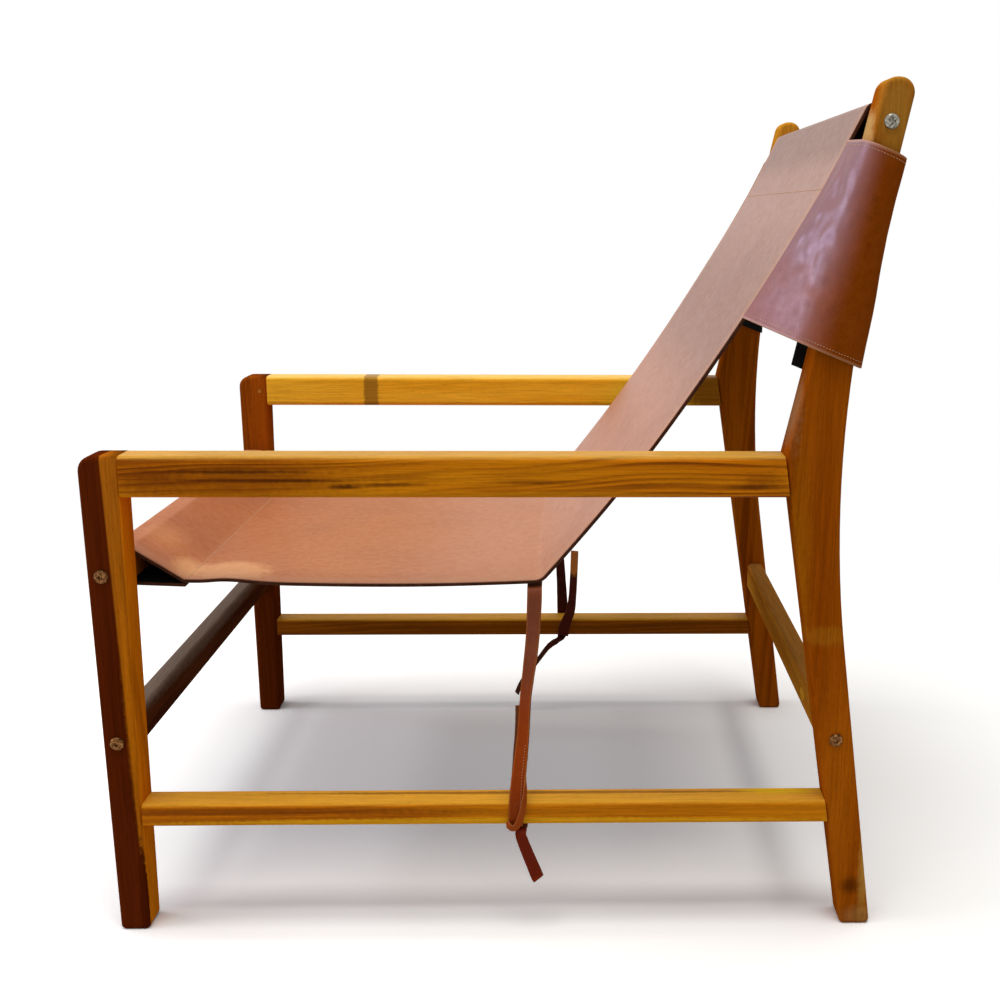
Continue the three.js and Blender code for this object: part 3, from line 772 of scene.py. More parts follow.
@dataclass
class ThreadRow:
    """Row of stitches, each a small lens of thread half sunk in the leather.

    Attributes:
        length: Length of one stitch, in metres.
        width: Width of its thread, in metres.
        pitch: Distance from one stitch to the next, in metres.
    """

    length: float = 3.6 * MM
    width: float = 0.9 * MM
    pitch: float = 5.2 * MM

    def sew(self, shape: Shape, line: Sequence[Vector], normal: Callable[[Vector], Vector]) -> None:
        """Adds stitches along a line on the leather.

        Args:
            shape: The shape that takes the stitches.
            line: Close points of the line.
            normal: Gives the way out of the leather at a place.
        """
        spare = self.pitch / 2
        for start, end in zip(line, line[1:]):
            step = end - start
            while spare < step.length:
                place = start + step.normalized() * spare
                self._stitch(shape, place, step.normalized(), normal(place))
                spare += self.pitch
            spare -= step.length

    def _stitch(self, shape: Shape, place: Vector, along: Vector, out: Vector) -> None:
        """Adds one stitch.

        Args:
            shape: The shape that takes it.
            place: Its middle.
            along: The way that it lies.
            out: The way out of the leather.
        """
        across = out.cross(along).normalized()
        turn = Matrix((along, across, along.cross(across))).transposed().to_4x4()
        size = Matrix.Diagonal((self.length / 2, self.width / 2, self.width / 2, 1.0))
        matrix = Matrix.Translation(place) @ turn @ size
        bmesh.ops.create_icosphere(shape, subdivisions=1, radius=1.0, matrix=matrix)


@dataclass
class Line:
    """Open line through places, measured along its length.

    Attributes:
        points: The places.
        reach: Length from the start to each place.
    """

    points: list[Vector]
    reach: list[float] = field(init=False)

    def __post_init__(self) -> None:
        """Measures the line."""
        self.reach = [0.0]
        for start, end in zip(self.points, self.points[1:]):
            self.reach.append(self.reach[-1] + (end - start).length)

    @property
    def length(self) -> float:
        """Whole length of the line."""
        return self.reach[-1]

    def at(self, distance: float) -> Vector:
        """Finds a place on the line.

        Args:
            distance: How far along the line it is.

        Returns:
            The place.
        """
        last = len(self.points) - 2
        i = min(max(bisect_right(self.reach, distance) - 1, 0), last)
        share = (distance - self.reach[i]) / (self.reach[i + 1] - self.reach[i])
        return self.points[i].lerp(self.points[i + 1], share)

    def way(self, distance: float, gap: float = 0.5 * MM) -> Vector:
        """Direction of the line at a distance along it."""
        low, high = max(distance - gap, 0.0), min(distance + gap, self.length)
        return (self.at(high) - self.at(low)).normalized()

    def spaced(self, gap: float) -> "Line":
        """Adds points to the line.

        Args:
            gap: Largest distance between two points.

        Returns:
            The same line with more points.
        """
        points = [self.points[0]]
        for start, end in zip(self.points, self.points[1:]):
            steps = max(1, math.ceil((end - start).length / gap))
            points.extend(start.lerp(end, (k + 1) / steps) for k in range(steps))
        return Line(points)

    def eased(self, count: int) -> "Line":
        """Rounds the line's corners.

        Args:
            count: How many places on both sides each place is averaged with, fewer near the ends.

        Returns:
            The rounded line.
        """
        last = len(self.points) - 1
        points = []
        for i in range(last + 1):
            reach = min(count, i, last - i)
            near = self.points[i - reach:i + reach + 1]
            points.append(sum(near, Vector((0.0, 0.0))) / len(near))
        return Line(points)


def arc_points(centre: Vector, radius: float, start: float, end: float,
               step: float = math.radians(9)) -> list[Vector]:
    """Points of an arc in a plane.

    Args:
        centre: The arc's middle.
        radius: Its radius.
        start: The angle that it starts at.
        end: The angle that it ends at.
        step: Largest angle between two points.

    Returns:
        The points, both ends among them.
    """
    count = max(1, math.ceil(abs(end - start) / step))
    angles = [start + (end - start) * k / count for k in range(count + 1)]
    return [centre + Vector((math.cos(angle), math.sin(angle))) * radius for angle in angles]


def touch_angle(point: Vector, centre: Vector, radius: float, hand: int) -> float:
    """Angle at which a straight line from a point touches a circle.

    Args:
        point: The point.
        centre: The circle's middle.
        radius: Its radius.
        hand: 1 or -1, for one or the other of the two lines.

    Returns:
        The angle about the circle's middle.
    """
    away = point - centre
    return math.atan2(away.y, away.x) + hand * math.acos(radius / away.length)


def rounded_corner(before: Vector, corner: Vector, after: Vector, radius: float) -> list[Vector]:
    """Points of the arc that rounds a corner between two others.

    Args:
        before: The place before the corner.
        corner: The corner.
        after: The place after it.
        radius: The arc's radius.

    Returns:
        The arc's points.
    """
    back, ahead = (before - corner).normalized(), (after - corner).normalized()
    half = math.acos(max(-1.0, min(1.0, back.dot(ahead)))) / 2
    centre = corner + (back + ahead).normalized() * (radius / math.sin(half))
    first = corner + back * (radius / math.tan(half)) - centre
    last = corner + ahead * (radius / math.tan(half)) - centre
    start = math.atan2(first.y, first.x)
    sweep = (math.atan2(last.y, last.x) - start + math.pi) % math.tau - math.pi
    return arc_points(centre, radius, start, start + sweep)


def smooth_line(points: Sequence[Sequence[float]]) -> Line:
    """Smooth line through places given in millimetres, in equal steps from each place to the next.

    Args:
        points: The places.

    Returns:
        The line, in metres.
    """
    knots = [Vector(point) * MM for point in points]
    ends = [knots[0] * 2 - knots[1], *knots, knots[-1] * 2 - knots[-2]]
    places = []
    for before, start, end, after in zip(ends, ends[1:], ends[2:], ends[3:]):
        for k in range(CURVE_STEPS):
            share = k / CURVE_STEPS
            rise = (end - before) * share
            bend = (before * 2 - start * 5 + end * 4 - after) * share ** 2
            twist = (start * 3 - before - end * 3 + after) * share ** 3
            places.append(start + (rise + bend + twist) / 2)
    return Line([*places, knots[-1]])


def face_marks(x: float, depth: float, rows: Sequence[tuple]) -> tuple[Mark, ...]:
    """Marks on one face of a timber.

    Args:
        x: The face's place along X.
        depth: Half of each mark's size along X.
        rows: Each mark's place and half size along Y and Z, then its tone, strength and softness.

    Returns:
        The marks.
    """
    return tuple(Mark((x, y, z), (depth, wide, tall), *look) for y, z, wide, tall, *look in rows)


HEARTWOOD = Tones("6b290a", "541d05", "2e0e03")
NUT_BROWN = Tones("a8520e", "964709", "5a2706")
SAPWOOD = Tones("c8741a", "a85a0a", "7a3a06")
GOLDEN = Tones("e4900f", "d67506", "783606")
REAR_SAP = Tones("ea8c14", "da780a", "9a4c08")
SHADED_GOLDEN = Tones("b0640a", "985004", "5c2a05")
PALE_GOLDEN = Tones("fcc43a", "f4b020", "bc781a")
BROWN = Tones("b45e0b", "9f4a04", "703004")
DUSKY = Tones("6a3a20", "562812", "32140a")
RUSSET = Tones("dc9432", "cf8024", "844c13")
DARK_STRAP = Tones("5e200c", "4c1609", "300a04")
PEG_END = Tones("c08038", "ab6a24", "7c4716")
BEECH = Tones("e2cda3", "d3b788", "b08f5c")


@dataclass
class Timber:
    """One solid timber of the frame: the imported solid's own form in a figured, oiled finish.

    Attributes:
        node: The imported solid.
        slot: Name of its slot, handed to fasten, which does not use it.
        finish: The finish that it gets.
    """

    node: str
    slot: str
    finish: WoodFinish

    def build(self) -> Object:
        """Copies the solid, joins its corners, dresses it and hides the solid.

        Returns:
            The timber.
        """
        low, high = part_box(self.node)
        shape = bmesh.new()
        shape.from_mesh(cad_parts[self.node].data)
        bmesh.ops.remove_doubles(shape, verts=shape.verts, dist=MERGE)
        piece = make_piece(f"{self.node}_timber", shape, ())
        piece.data.materials.clear()
        piece.data.materials.append(self.finish.material((low + high) / 2))
        for polygon in piece.data.polygons:
            polygon.material_index = 0
        piece.data.set_sharp_from_angle(angle=TIMBER_EDGE)
        even = piece.modifiers.new("even_faces", "WEIGHTED_NORMAL")
        even.mode = "FACE_AREA"
        even.weight = 100
        even.keep_sharp = True
        return fasten(piece, self.slot, self.node)


@dataclass
class SideFrame:
    """Front leg, back post, armrest and side stretcher of one side.

    Attributes:
        side: The side of the chair.
        sap_place: Where a front leg's heartwood ends at the floor, from the chair's middle, in metres.
        sap_slope: How far that line moves forward per metre upwards.
        rear_place: The same for the leg's paler rear face.
        rear_slope: How far that face leans forward per metre upwards.
        golden_edge: Bright sapwood next to the left leg's heartwood.
        heart_foot: Heartwood that crosses the left leg at its foot.
        foot_shadow: Painted shadow that darkens the lower half of the right leg, below the seat.
        post_marks_and_highlights: Dark patch at the heel, pale patch and paler tip of the left post, with
            painted highlights on its front face above the armrest and along the front edge of its tip.
        far_post_marks: Golden tip of the right post.
        near_arm_marks_and_highlight: Dark knots and streaks of the left arm, and a painted highlight along
            its lower edge.
        far_arm_marks: Dark patch across the right arm, and its darker rear end.
        bar_marks: Dark and golden bands of the left stretcher.
    """

    side: Side
    sap_place: float = -0.3665
    sap_slope: float = 0.011
    rear_place: float = -0.3657
    rear_slope: float = -0.01786
    golden_edge: Mark = Mark((0.332, -0.364, 0.25), (0.008, 0.0085, 0.24), "d0760e", 0.8, 0.85)
    heart_foot: Mark = Mark((0.332, -0.366, 0.0), (0.008, 0.008, 0.12), "541d05", 1.0, 0.25)
    # Painted shadow over the right leg's lower half.
    foot_shadow: Mark = Mark((-0.305, -0.37, 0.06), (0.06, 0.07, 0.24), "4c1805", 0.85, 0.45)
    post_marks_and_highlights: tuple[Mark, ...] = (
        Mark((0.33, 0.355, 0.17), (0.03, 0.05, 0.2), "c0660c", 0.5, 0.9),
        Mark((0.33, 0.372, 0.045), (0.03, 0.016, 0.014), "4c2406", 0.7, 0.8),
        Mark((0.33, 0.385, 0.01), (0.03, 0.03, 0.016), "b07c44", 0.6, 0.8),
        Mark((0.33, 0.386, 0.07), (0.03, 0.009, 0.09), "cf9a44", 0.7, 0.8),
        Mark((0.33, 0.302, 0.36), (0.03, 0.02, 0.22), "b4700c", 0.5, 0.9),
        # Painted highlight on the front face above the armrest.
        Mark((0.31, 0.295, 0.55), (0.03, 0.012, 0.08), "b08a62", 0.5, 0.7),
        Mark((0.32, 0.336, 0.322), (0.05, 0.04, 0.014), "b87418", 0.45, 0.6),
        Mark((0.33, 0.374, 0.82), (0.03, 0.03, 0.07), "bc8a34", 0.65, 0.8),
        # Painted highlight along the front edge of the tip.
        Mark((0.3, 0.352, 0.825), (0.05, 0.006, 0.07), "d8b070", 0.75, 0.5),
    )
    far_post_marks: tuple[Mark, ...] = (Mark((-0.31, 0.372, 0.84), (0.05, 0.03, 0.05), "d8952a", 0.8, 0.5),)
    near_arm_marks_and_highlight: tuple[Mark, ...] = face_marks(0.33, 0.012, (
        (-0.24, 0.482, 0.16, 0.03, "7a3604", 0.62, 0.9),
        (-0.325, 0.481, 0.06, 0.02, "7e3a04", 0.6, 0.9),
        (-0.09, 0.484, 0.06, 0.006, "9a5206", 0.5, 0.9),
        (0.265, 0.481, 0.035, 0.012, "843c04", 0.55, 0.9),
        (-0.14, 0.4745, 0.022, 0.0035, "4a2005", 0.85, 0.8),
        (-0.1, 0.4765, 0.06, 0.003, "5e2c06", 0.7, 0.9),
        (-0.25, 0.489, 0.11, 0.0028, "4e2205", 0.8, 0.8),
        (-0.21, 0.4805, 0.12, 0.0024, "4e2205", 0.75, 0.8),
        (0.04, 0.479, 0.06, 0.0035, "5e2c06", 0.6, 0.9),
        (0.18, 0.487, 0.08, 0.012, "e08a0c", 0.4, 0.9),
        (0.255, 0.474, 0.04, 0.004, "5e2c06", 0.75, 0.9),
        # Painted highlight along the lower edge, standing for the floor's light reflected there.
        (0.0, 0.4665, 0.32, 0.0032, "d88c12", 0.5, 0.6),
    ))
    far_arm_marks: tuple[Mark, ...] = (
        Mark((-0.3, -0.2085, 0.48), (0.12, 0.0118, 0.12), "74501e", 0.68, 0.3),
        Mark((-0.3, 0.275, 0.485), (0.05, 0.045, 0.05), "8a4008", 0.8, 0.6),
    )
    bar_marks: tuple[Mark, ...] = (
        Mark((0.33, -0.25, 0.1335), (0.006, 0.34, 0.0062), "874106", 0.75, 0.8),
        Mark((0.33, 0.0, 0.1205), (0.006, 0.42, 0.0066), "f0aa1a", 0.9, 0.5),
        Mark((0.305, 0.05, 0.142), (0.004, 0.36, 0.004), "8a4a08", 0.7, 0.5),
        Mark((0.302, 0.3, 0.142), (0.012, 0.06, 0.004), "f4c410", 0.7, 0.6),
    )

    def _leg(self, name: str, seed: float) -> WoodFinish:
        """Finish of the front leg: heartwood in front of golden wood on the left, nut brown with a painted
        shadow over its lower half on the right.

        Args:
            name: The side's name.
            seed: Number that shifts the figure.

        Returns:
            The finish.
        """
        left = self.side is Side.LEFT
        saps = (SapLine((0.0, 1.0, self.sap_slope), self.sap_place, SAPWOOD),
                SapLine((0.0, 1.0, self.rear_slope), self.rear_place, REAR_SAP, 0.0004))
        return WoodFinish(f"{name}_leg_heartwood", HEARTWOOD if left else NUT_BROWN, Grain.UPRIGHT,
                          pith=(0.02, -0.09), ring=0.007, lean=(0.0, 0.012), figure=0.4 if left else 0.45,
                          seed=seed, gloss=0.0, saps=saps if left else (),
                          marks=(self.golden_edge, self.heart_foot) if left else (self.foot_shadow,))

    def timbers(self) -> list[Timber]:
        """Chooses the finishes of the side's four timbers.

        Returns:
            The timbers, ready to build.
        """
        left = self.side is Side.LEFT
        seed = 1.0 if left else 7.3
        name = self.side.label
        post = WoodFinish(f"{name}_post_teak", BROWN, Grain.UPRIGHT, pith=(0.03, -0.16), ring=0.013,
                          lean=(0.0, -0.05), wander=0.03, figure=0.3 if left else 0.7, streak=0.25,
                          seed=seed + 2, gloss=0.0, painted_top_light="c88a2a",
                          marks=self.post_marks_and_highlights if left else self.far_post_marks)
        arm = WoodFinish(f"{name}_arm_teak", GOLDEN if left else PALE_GOLDEN, Grain.ALONG, pith=(0.02, 0.11),
                         ring=0.007, lean=(0.0, 0.035), wander=0.034, figure=0.85 if left else 0.25,
                         streak=0.5 if left else 0.2, seed=seed + 4, painted_top_light="d6a242" if left else "fccc6a",
                         marks=self.near_arm_marks_and_highlight if left else self.far_arm_marks)
        bar = WoodFinish(f"{name}_stretcher_teak", GOLDEN if left else SHADED_GOLDEN, Grain.ALONG,
                         pith=(0.02, -0.1), ring=0.008, lean=(0.0, 0.015), wander=0.02, figure=0.45,
                         seed=seed + 6, painted_top_light="eeac34", marks=self.bar_marks if left else ())
        return [
            Timber(f"{name}_front_leg", "heartwood", self._leg(name, seed)),
            Timber(f"{name}_back_post", "teak", post),
            Timber(f"{name}_armrest", "golden_teak", arm),
            Timber(f"{name}_side_stretcher", "golden_teak", bar),
        ]

    def build(self) -> None:
        """Builds the side's timbers."""
        for timber in self.timbers():
            timber.build()


@dataclass
class CrossRails:
    """The four rails between the side frames: seat rail, top rail and two stretchers.

    Attributes:
        worn_end: Worn left end of the front stretcher.
        sheen_edge: Painted sheen along the upper edge of the front stretcher, carrying on the painted sheen
            of its top.
        bright_end: Bright spot near the rear stretcher's left end.
    """

    worn_end: Mark = Mark((0.24, -0.381, 0.227), (0.12, 0.03, 0.006), "a48e78", 0.3, 0.8)
    # Painted sheen: paler grey along the front stretcher's upper edge.
    sheen_edge: Mark = Mark((0.0, -0.3695, 0.2285), (0.42, 0.009, 0.017), "86705f", 0.7, 0.8)
    bright_end: Mark = Mark((0.19, 0.338, 0.207), (0.014, 0.01, 0.008), "f0b030", 0.9, 0.3)

    def build(self) -> None:
        """Builds the rails."""
        seat = WoodFinish("seat_rail_teak", BROWN, Grain.ACROSS, seed=11.0)
        top = WoodFinish("top_rail_teak", BROWN, Grain.ACROSS, seed=12.5)
        # The grey top tone of the front stretcher is a painted sheen.
        front = WoodFinish("front_stretcher_heartwood", DUSKY, Grain.ACROSS, pith=(0.02, 0.09), ring=0.009,
                           figure=0.5, seed=14.0, gloss=0.0, painted_top_light="8e7f72",
                           marks=(self.worn_end, self.sheen_edge))
        rear = WoodFinish("rear_stretcher_teak", RUSSET, Grain.ACROSS, pith=(0.02, 0.07), figure=0.5,
                          seed=15.5, gloss=0.0, painted_top_light="a87034", marks=(self.bright_end,))
        Timber("seat_rail", "teak", seat).build()
        Timber("top_rail", "teak", top).build()
        Timber("front_stretcher", "heartwood", front).build()
        Timber("rear_stretcher", "golden_teak", rear).build()


@dataclass
class Fittings:
    """Connector bolts, barrel nuts, dowels and pegs of the frame.

    Attributes:
        steps: Sides of a turned bolt.
        seat: Outer face of the side frames, from the chair's middle.
        shank: Radius of a bolt's shank.
        rim: Height of the head's straight rim.
        bevel: Bevel under the head.
        key: Radius of the recess in the head.
        key_depth: Depth of that recess.
    """

    steps: int = 48
    seat: float = 330 * MM
    shank: float = 2.9 * MM
    rim: float = 1.2 * MM
    bevel: float = 0.2 * MM
    key: float = 2.3 * MM
    key_depth: float = 1.9 * MM

    def build(self) -> None:
        """Turns the bolts and dresses the hidden fittings."""
        bronze = MetalFinish("bronze_plating", Tones("9c7044", "744e2c", "402812"), 0.5).material()
        zinc = MetalFinish("zinc_plating", Tones("b4b0a2", "8c887c", "58544a"), 0.5).material()
        for side in Side:
            for rail in ("seat_rail", "front_stretcher", "rear_stretcher"):
                self._bolt(side, rail, "bronze", bronze, 6, 0.16)
            self._bolt(side, "top_rail", "steel", zinc, 4, 0.42)
        self._dress_nodes(zinc)

    def _profile(self, tip: float, crown: float, radius: float, out: int) -> list[tuple[float, float]]:
        """Outline of a bolt, from the tip of its shank to the middle of the recess in its head.

        Args:
            tip: The shank's end along X.
            crown: The head's top along X.
            radius: The head's radius.
            out: 1 or -1, for the way out of the chair along X.

        Returns:
            Places along X, each with its distance from the bolt's axis.
        """
        seat = out * self.seat
        dome = abs(crown - seat) - self.rim
        flat = self.key * 1.35
        lip = crown - out * 0.05 * MM
        floor = crown - out * self.key_depth
        angles = [math.radians(12 * k) for k in range(7)]
        head = [(seat + out * (self.rim + dome * math.sin(angle)), flat + (radius - flat) * math.cos(angle))
                for angle in angles]
        return [(tip, 0.0), (tip, self.shank), (seat, self.shank), (seat, radius - self.bevel),
                (seat + out * self.bevel, radius), *head, (crown, self.key * 1.3), (lip, self.key * 1.02),
                (floor, self.key * 0.92), (floor, 0.0)]

    def _bolt(self, side: Side, rail: str, slot: str, material: Material, lobes: int, depth: float) -> None:
        """Turns one bolt and puts it in place of its solid.

        Args:
            side: The side of the chair.
            rail: The rail that the bolt holds.
            slot: Name of its slot, handed to fasten, which does not use it.
            material: Its plating.
            lobes: Number of points of the recess.
            depth: How far those points stand out, as a share of its radius.
        """
        node = f"{side.label}_{rail}_bolt"
        low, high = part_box(node)
        centre = (low + high) / 2
        tip, crown = (low.x, high.x) if side is Side.LEFT else (high.x, low.x)
        profile = self._profile(tip, crown, (high.z - low.z) / 2, side.value)
        shape = bmesh.new()
        corners = [shape.verts.new((x, centre.y + reach, centre.z)) for x, reach in profile]
        edges = [shape.edges.new(pair) for pair in zip(corners, corners[1:])]
        bmesh.ops.spin(shape, geom=[*corners, *edges], cent=centre, axis=(1, 0, 0), angle=math.tau,
                       steps=self.steps, use_merge=True)
        bmesh.ops.remove_doubles(shape, verts=shape.verts, dist=MERGE / 2)
        bmesh.ops.recalc_face_normals(shape, faces=shape.faces)
        for vertex in shape.verts:
            away = Vector((0.0, vertex.co.y - centre.y, vertex.co.z - centre.z))
            in_recess = abs(vertex.co.x - crown) < self.key_depth * 1.1
            if in_recess and self.key * 0.5 < away.length < self.key * 1.1:
                vertex.co += away * (depth * math.cos(lobes * math.atan2(away.z, away.y)))
        piece = make_piece(f"{node}_turned", shape, (material,))
        piece.data.set_sharp_from_angle(angle=BOLT_EDGE)
        fasten(piece, slot, node)

    @staticmethod
    def _dress_nodes(zinc: Material) -> None:
        """Gives the dowels, pegs and nuts their finishes.

        Args:
            zinc: The nuts' plating.
        """
        for name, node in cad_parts.items():
            if name.endswith(("_dowel", "_peg")):
                low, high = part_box(name)
                tones = PEG_END if name.endswith("peg") else BEECH
                finish = WoodFinish(f"{name}_beech", tones, Grain.ACROSS, pith=(0.02, 0.03), ring=0.002,
                                    wander=0.002, roughness=0.6)
                node.material_slots[0].material = finish.material((low + high) / 2)
            elif name.endswith("_barrel_nut"):
                node.material_slots[0].material = zinc


@dataclass
class Rail:
    """Section of a cross rail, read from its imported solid: middle and half sizes, in metres."""

    middle: Vector
    half: Vector

    @classmethod
    def of(cls, node: str) -> "Rail":
        """Reads a rail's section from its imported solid."""
        low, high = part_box(node)
        return cls(Vector(((low.y + high.y) / 2, (low.z + high.z) / 2)),
                   Vector(((high.y - low.y) / 2, (high.z - low.z) / 2)))

    def corner(self, depth: int, height: int, rounding: float) -> Vector:
        """Middle of a rounded corner, by its side along the depth and the height."""
        return self.middle + Vector((depth * (self.half.x - rounding), height * (self.half.y - rounding)))


@dataclass
class Sling:
    """Leather seat and back in one sheet, with a canvas backing and a sewn pocket round each rail.

    Attributes:
        thickness: Leather and backing together.
        rail_round: Rounding of the rails' edges.
        fit: Clearance round the rails.
        half_width: Half of the sheet's width.
        front_seam: The front pocket's seam, from the seat rail's middle.
        crease: The crease, from the seat rail's middle.
        top_seam: The top pocket's seam, from the top rail's middle.
        crease_round: Radius of the fold at the crease.
        fold_reach: Straight run on each side of it.
        seat_sag: How far the seat hangs.
        back_sag: How far the back hangs.
        lap: Length of pocket leather lapped under a seam.
        side_draw: How far the ties draw its edges in at the crease.
        draw_reach: Distance over which they do.
        crease_lift: How far the middle stands above the drawn-down edges at the crease.
        seam_swell: How far the edges swell behind the front seam.
        wave: Height of the slow waves of the face.
        ripple: Height of the ripples in the front pocket.
        top_ripple: Height of the ripples in the top pocket.
        columns: Squares across the sheet.
    """

    thickness: float = 4.0 * MM
    rail_round: float = 5.0 * MM
    fit: float = 0.3 * MM
    half_width: float = 280 * MM
    front_seam: tuple[float, float] = (61.5 * MM, -14 * MM)
    crease: tuple[float, float] = (423.5 * MM, -22.8 * MM)
    top_seam: tuple[float, float] = (-50 * MM, -57 * MM)
    crease_round: float = 14 * MM
    fold_reach: float = 28 * MM
    seat_sag: float = 2 * MM
    back_sag: float = 11 * MM
    lap: float = 1.5 * MM
    side_draw: float = 26 * MM
    draw_reach: float = 330 * MM
    crease_lift: float = 7 * MM
    seam_swell: float = 2.6 * MM
    wave: float = 1.6 * MM
    ripple: float = 1.5 * MM
    top_ripple: float = 1.2 * MM
    columns: int = 84
    fold: Vector = field(init=False)
    profile: Line = field(init=False)
    front_at: float = field(init=False)
    crease_at: float = field(init=False)
    top_at: float = field(init=False)

    def __post_init__(self) -> None:
        """Lays out the sheet's profile."""
        seat, top = Rail.of("seat_rail"), Rail.of("top_rail")
        self.fold = seat.middle + Vector(self.crease)
        face = self._face(seat.middle + Vector(self.front_seam), top.middle + Vector(self.top_seam))
        start_way = (face[1] - face[0]).normalized()
        end_way = (face[-1] - face[-2]).normalized()
        under_front = face[0] - start_way.orthogonal() * (2 * self.thickness)
        under_top = face[-1] - end_way.orthogonal() * (2 * self.thickness)
        front_corners, top_corners = ((-1, -1), (-1, 1), (1, 1)), ((-1, 1), (1, 1), (1, -1))
        front = [under_front, *self._pocket(seat, front_corners, math.pi, under_front, face[0])]
        back = [*self._pocket(top, top_corners, math.pi / 2, face[-1], under_top), under_top]
        points = [under_front + start_way * self.lap, *front, *face, *back, under_top - end_way * self.lap]
        self.profile = Line(points).spaced(6 * MM)
        self.front_at = Line(points[:len(front) + 2]).length
        self.top_at = self.front_at + Line(face).length
        self.crease_at = self.front_at + Line(face[:self._nearest(face, self.fold) + 1]).length

    @staticmethod
    def _nearest(points: Sequence[Vector], place: Vector) -> int:
        """Number of the point that is nearest to a place."""
        return min(range(len(points)), key=lambda i: (points[i] - place).length)

    @staticmethod
    def _sagging(start: Vector, end: Vector, sag: float, steps: int = 40) -> list[Vector]:
        """Points of a shallow hanging curve.

        Args:
            start: Its start.
            end: Its end.
            sag: How far it hangs at its middle.
            steps: Number of its steps.

        Returns:
            The points.
        """
        way = (end - start).normalized()
        pull = (start + end) / 2 - way.orthogonal() * (2 * sag)
        shares = [k / steps for k in range(steps + 1)]
        return [start * (1 - t) ** 2 + pull * (2 * t * (1 - t)) + end * t ** 2 for t in shares]

    def _face(self, front: Vector, top: Vector) -> list[Vector]:
        """The face's profile: seat, rounded crease and back.

        Args:
            front: Where the front pocket's seam is.
            top: Where the top pocket's seam is.

        Returns:
            The profile's points, from front to top.
        """
        seat = self._sagging(front, self.fold, self.seat_sag)
        back = self._sagging(self.fold, top, self.back_sag)
        before = self.fold + (seat[-2] - self.fold).normalized() * self.fold_reach
        after = self.fold + (back[1] - self.fold).normalized() * self.fold_reach
        turn = rounded_corner(before, self.fold, after, self.crease_round)
        clear = self.fold_reach + self.thickness
        return [*[p for p in seat if (p - self.fold).length > clear], before, *turn, after,
                *[p for p in back if (p - self.fold).length > clear]]

    def _pocket(self, rail: Rail, corners: Sequence[tuple[int, int]], turn: float, before: Vector,
                after: Vector) -> list[Vector]:
        """Loop of leather round three corners of a rail.

        Args:
            rail: The rail.
            corners: The corners in order, each by its sides along the depth and the height.
            turn: Angle at which the loop leaves the first corner.
            before: The place that it comes from.
            after: The place that it goes to.

        Returns:
            The loop's points, without those two places.
        """
        radius = self.rail_round + self.fit + self.thickness
        first, middle, last = [rail.corner(*corner, self.rail_round) for corner in corners]
        arrive = touch_angle(before, first, radius, -1) % math.tau
        leave = touch_angle(after, last, radius, 1)
        ahead = turn - math.pi / 2
        return [*arc_points(first, radius, arrive, turn), *arc_points(middle, radius, turn, ahead),
                *arc_points(last, radius, ahead, leave)]

    def edge_half(self, place: Vector) -> float:
        """Half width of the sheet at a place of its profile: narrower near the crease."""
        away = min((place - self.fold).length / self.draw_reach, 1.0)
        return self.half_width - self.side_draw * (1 - away) ** 2

    def swell(self, across: float, distance: float) -> float:
        """How far the leather stands off its profile.

        Args:
            across: Place across the sheet, from -1 to 1.
            distance: Place along its profile, in metres.

        Returns:
            The height of the swell, in metres.
        """
        on_face = smooth_share(distance, self.front_at, self.front_at + 0.04)
        on_face *= smooth_share(distance, self.top_at, self.top_at - 0.05)
        edge = smooth_share(abs(across), 0.45, 0.95)
        lift = self.crease_lift * (1 - across ** 4) * hump(distance - self.crease_at, 0.085)
        behind = self.seam_swell * hump(distance - self.front_at - 0.045, 0.03) * edge
        wave = self.wave * drift.noise(Vector((across * 2.3, distance * 5.0, 3.7)))
        ripple = self.ripple * hump(distance - self.front_at + 0.036, 0.016) * (0.4 + 0.6 * edge)
        ripple *= drift.noise(Vector((across * 7.0, distance * 22.0, 9.1)))
        top = self.top_ripple * hump(distance - self.top_at - 0.028, 0.016)
        top *= drift.noise(Vector((across * 4, 1.0, 2.0)))
        return (lift + behind + wave) * on_face + ripple + top

    def point(self, share: float, distance: float) -> Vector:
        """Place on the leather's face.

        Args:
            share: Place across the sheet, from 0 on the right to 1 on the left.
            distance: Place along its profile, in metres.

        Returns:
            The place in the chair's frame.
        """
        flat = self.profile.at(distance)
        across = share * 2 - 1
        out = self.profile.way(distance).orthogonal()
        flat_out = flat + out * self.swell(across, distance)
        return Vector((across * self.edge_half(flat), flat_out.x, flat_out.y))

    def out(self, distance: float) -> Vector:
        """Way out of the leather's face at a distance along its profile."""
        flat = self.profile.way(distance).orthogonal()
        return Vector((0.0, flat.x, flat.y))

    def face_y(self, height: float) -> float:
        """Depth of the back's profile, and of the loop in front of the top rail.

        Args:
            height: The height to look at.

        Returns:
            The depth at that height.
        """
        points = [p for p in self.profile.points if p.y > self.fold.y + 0.03]
        for start, end in zip(points, points[1:]):
            if start.y <= height <= end.y:
                return start.x + (end.x - start.x) * (height - start.y) / max(end.y - start.y, 1e-9)
        return points[-1].x

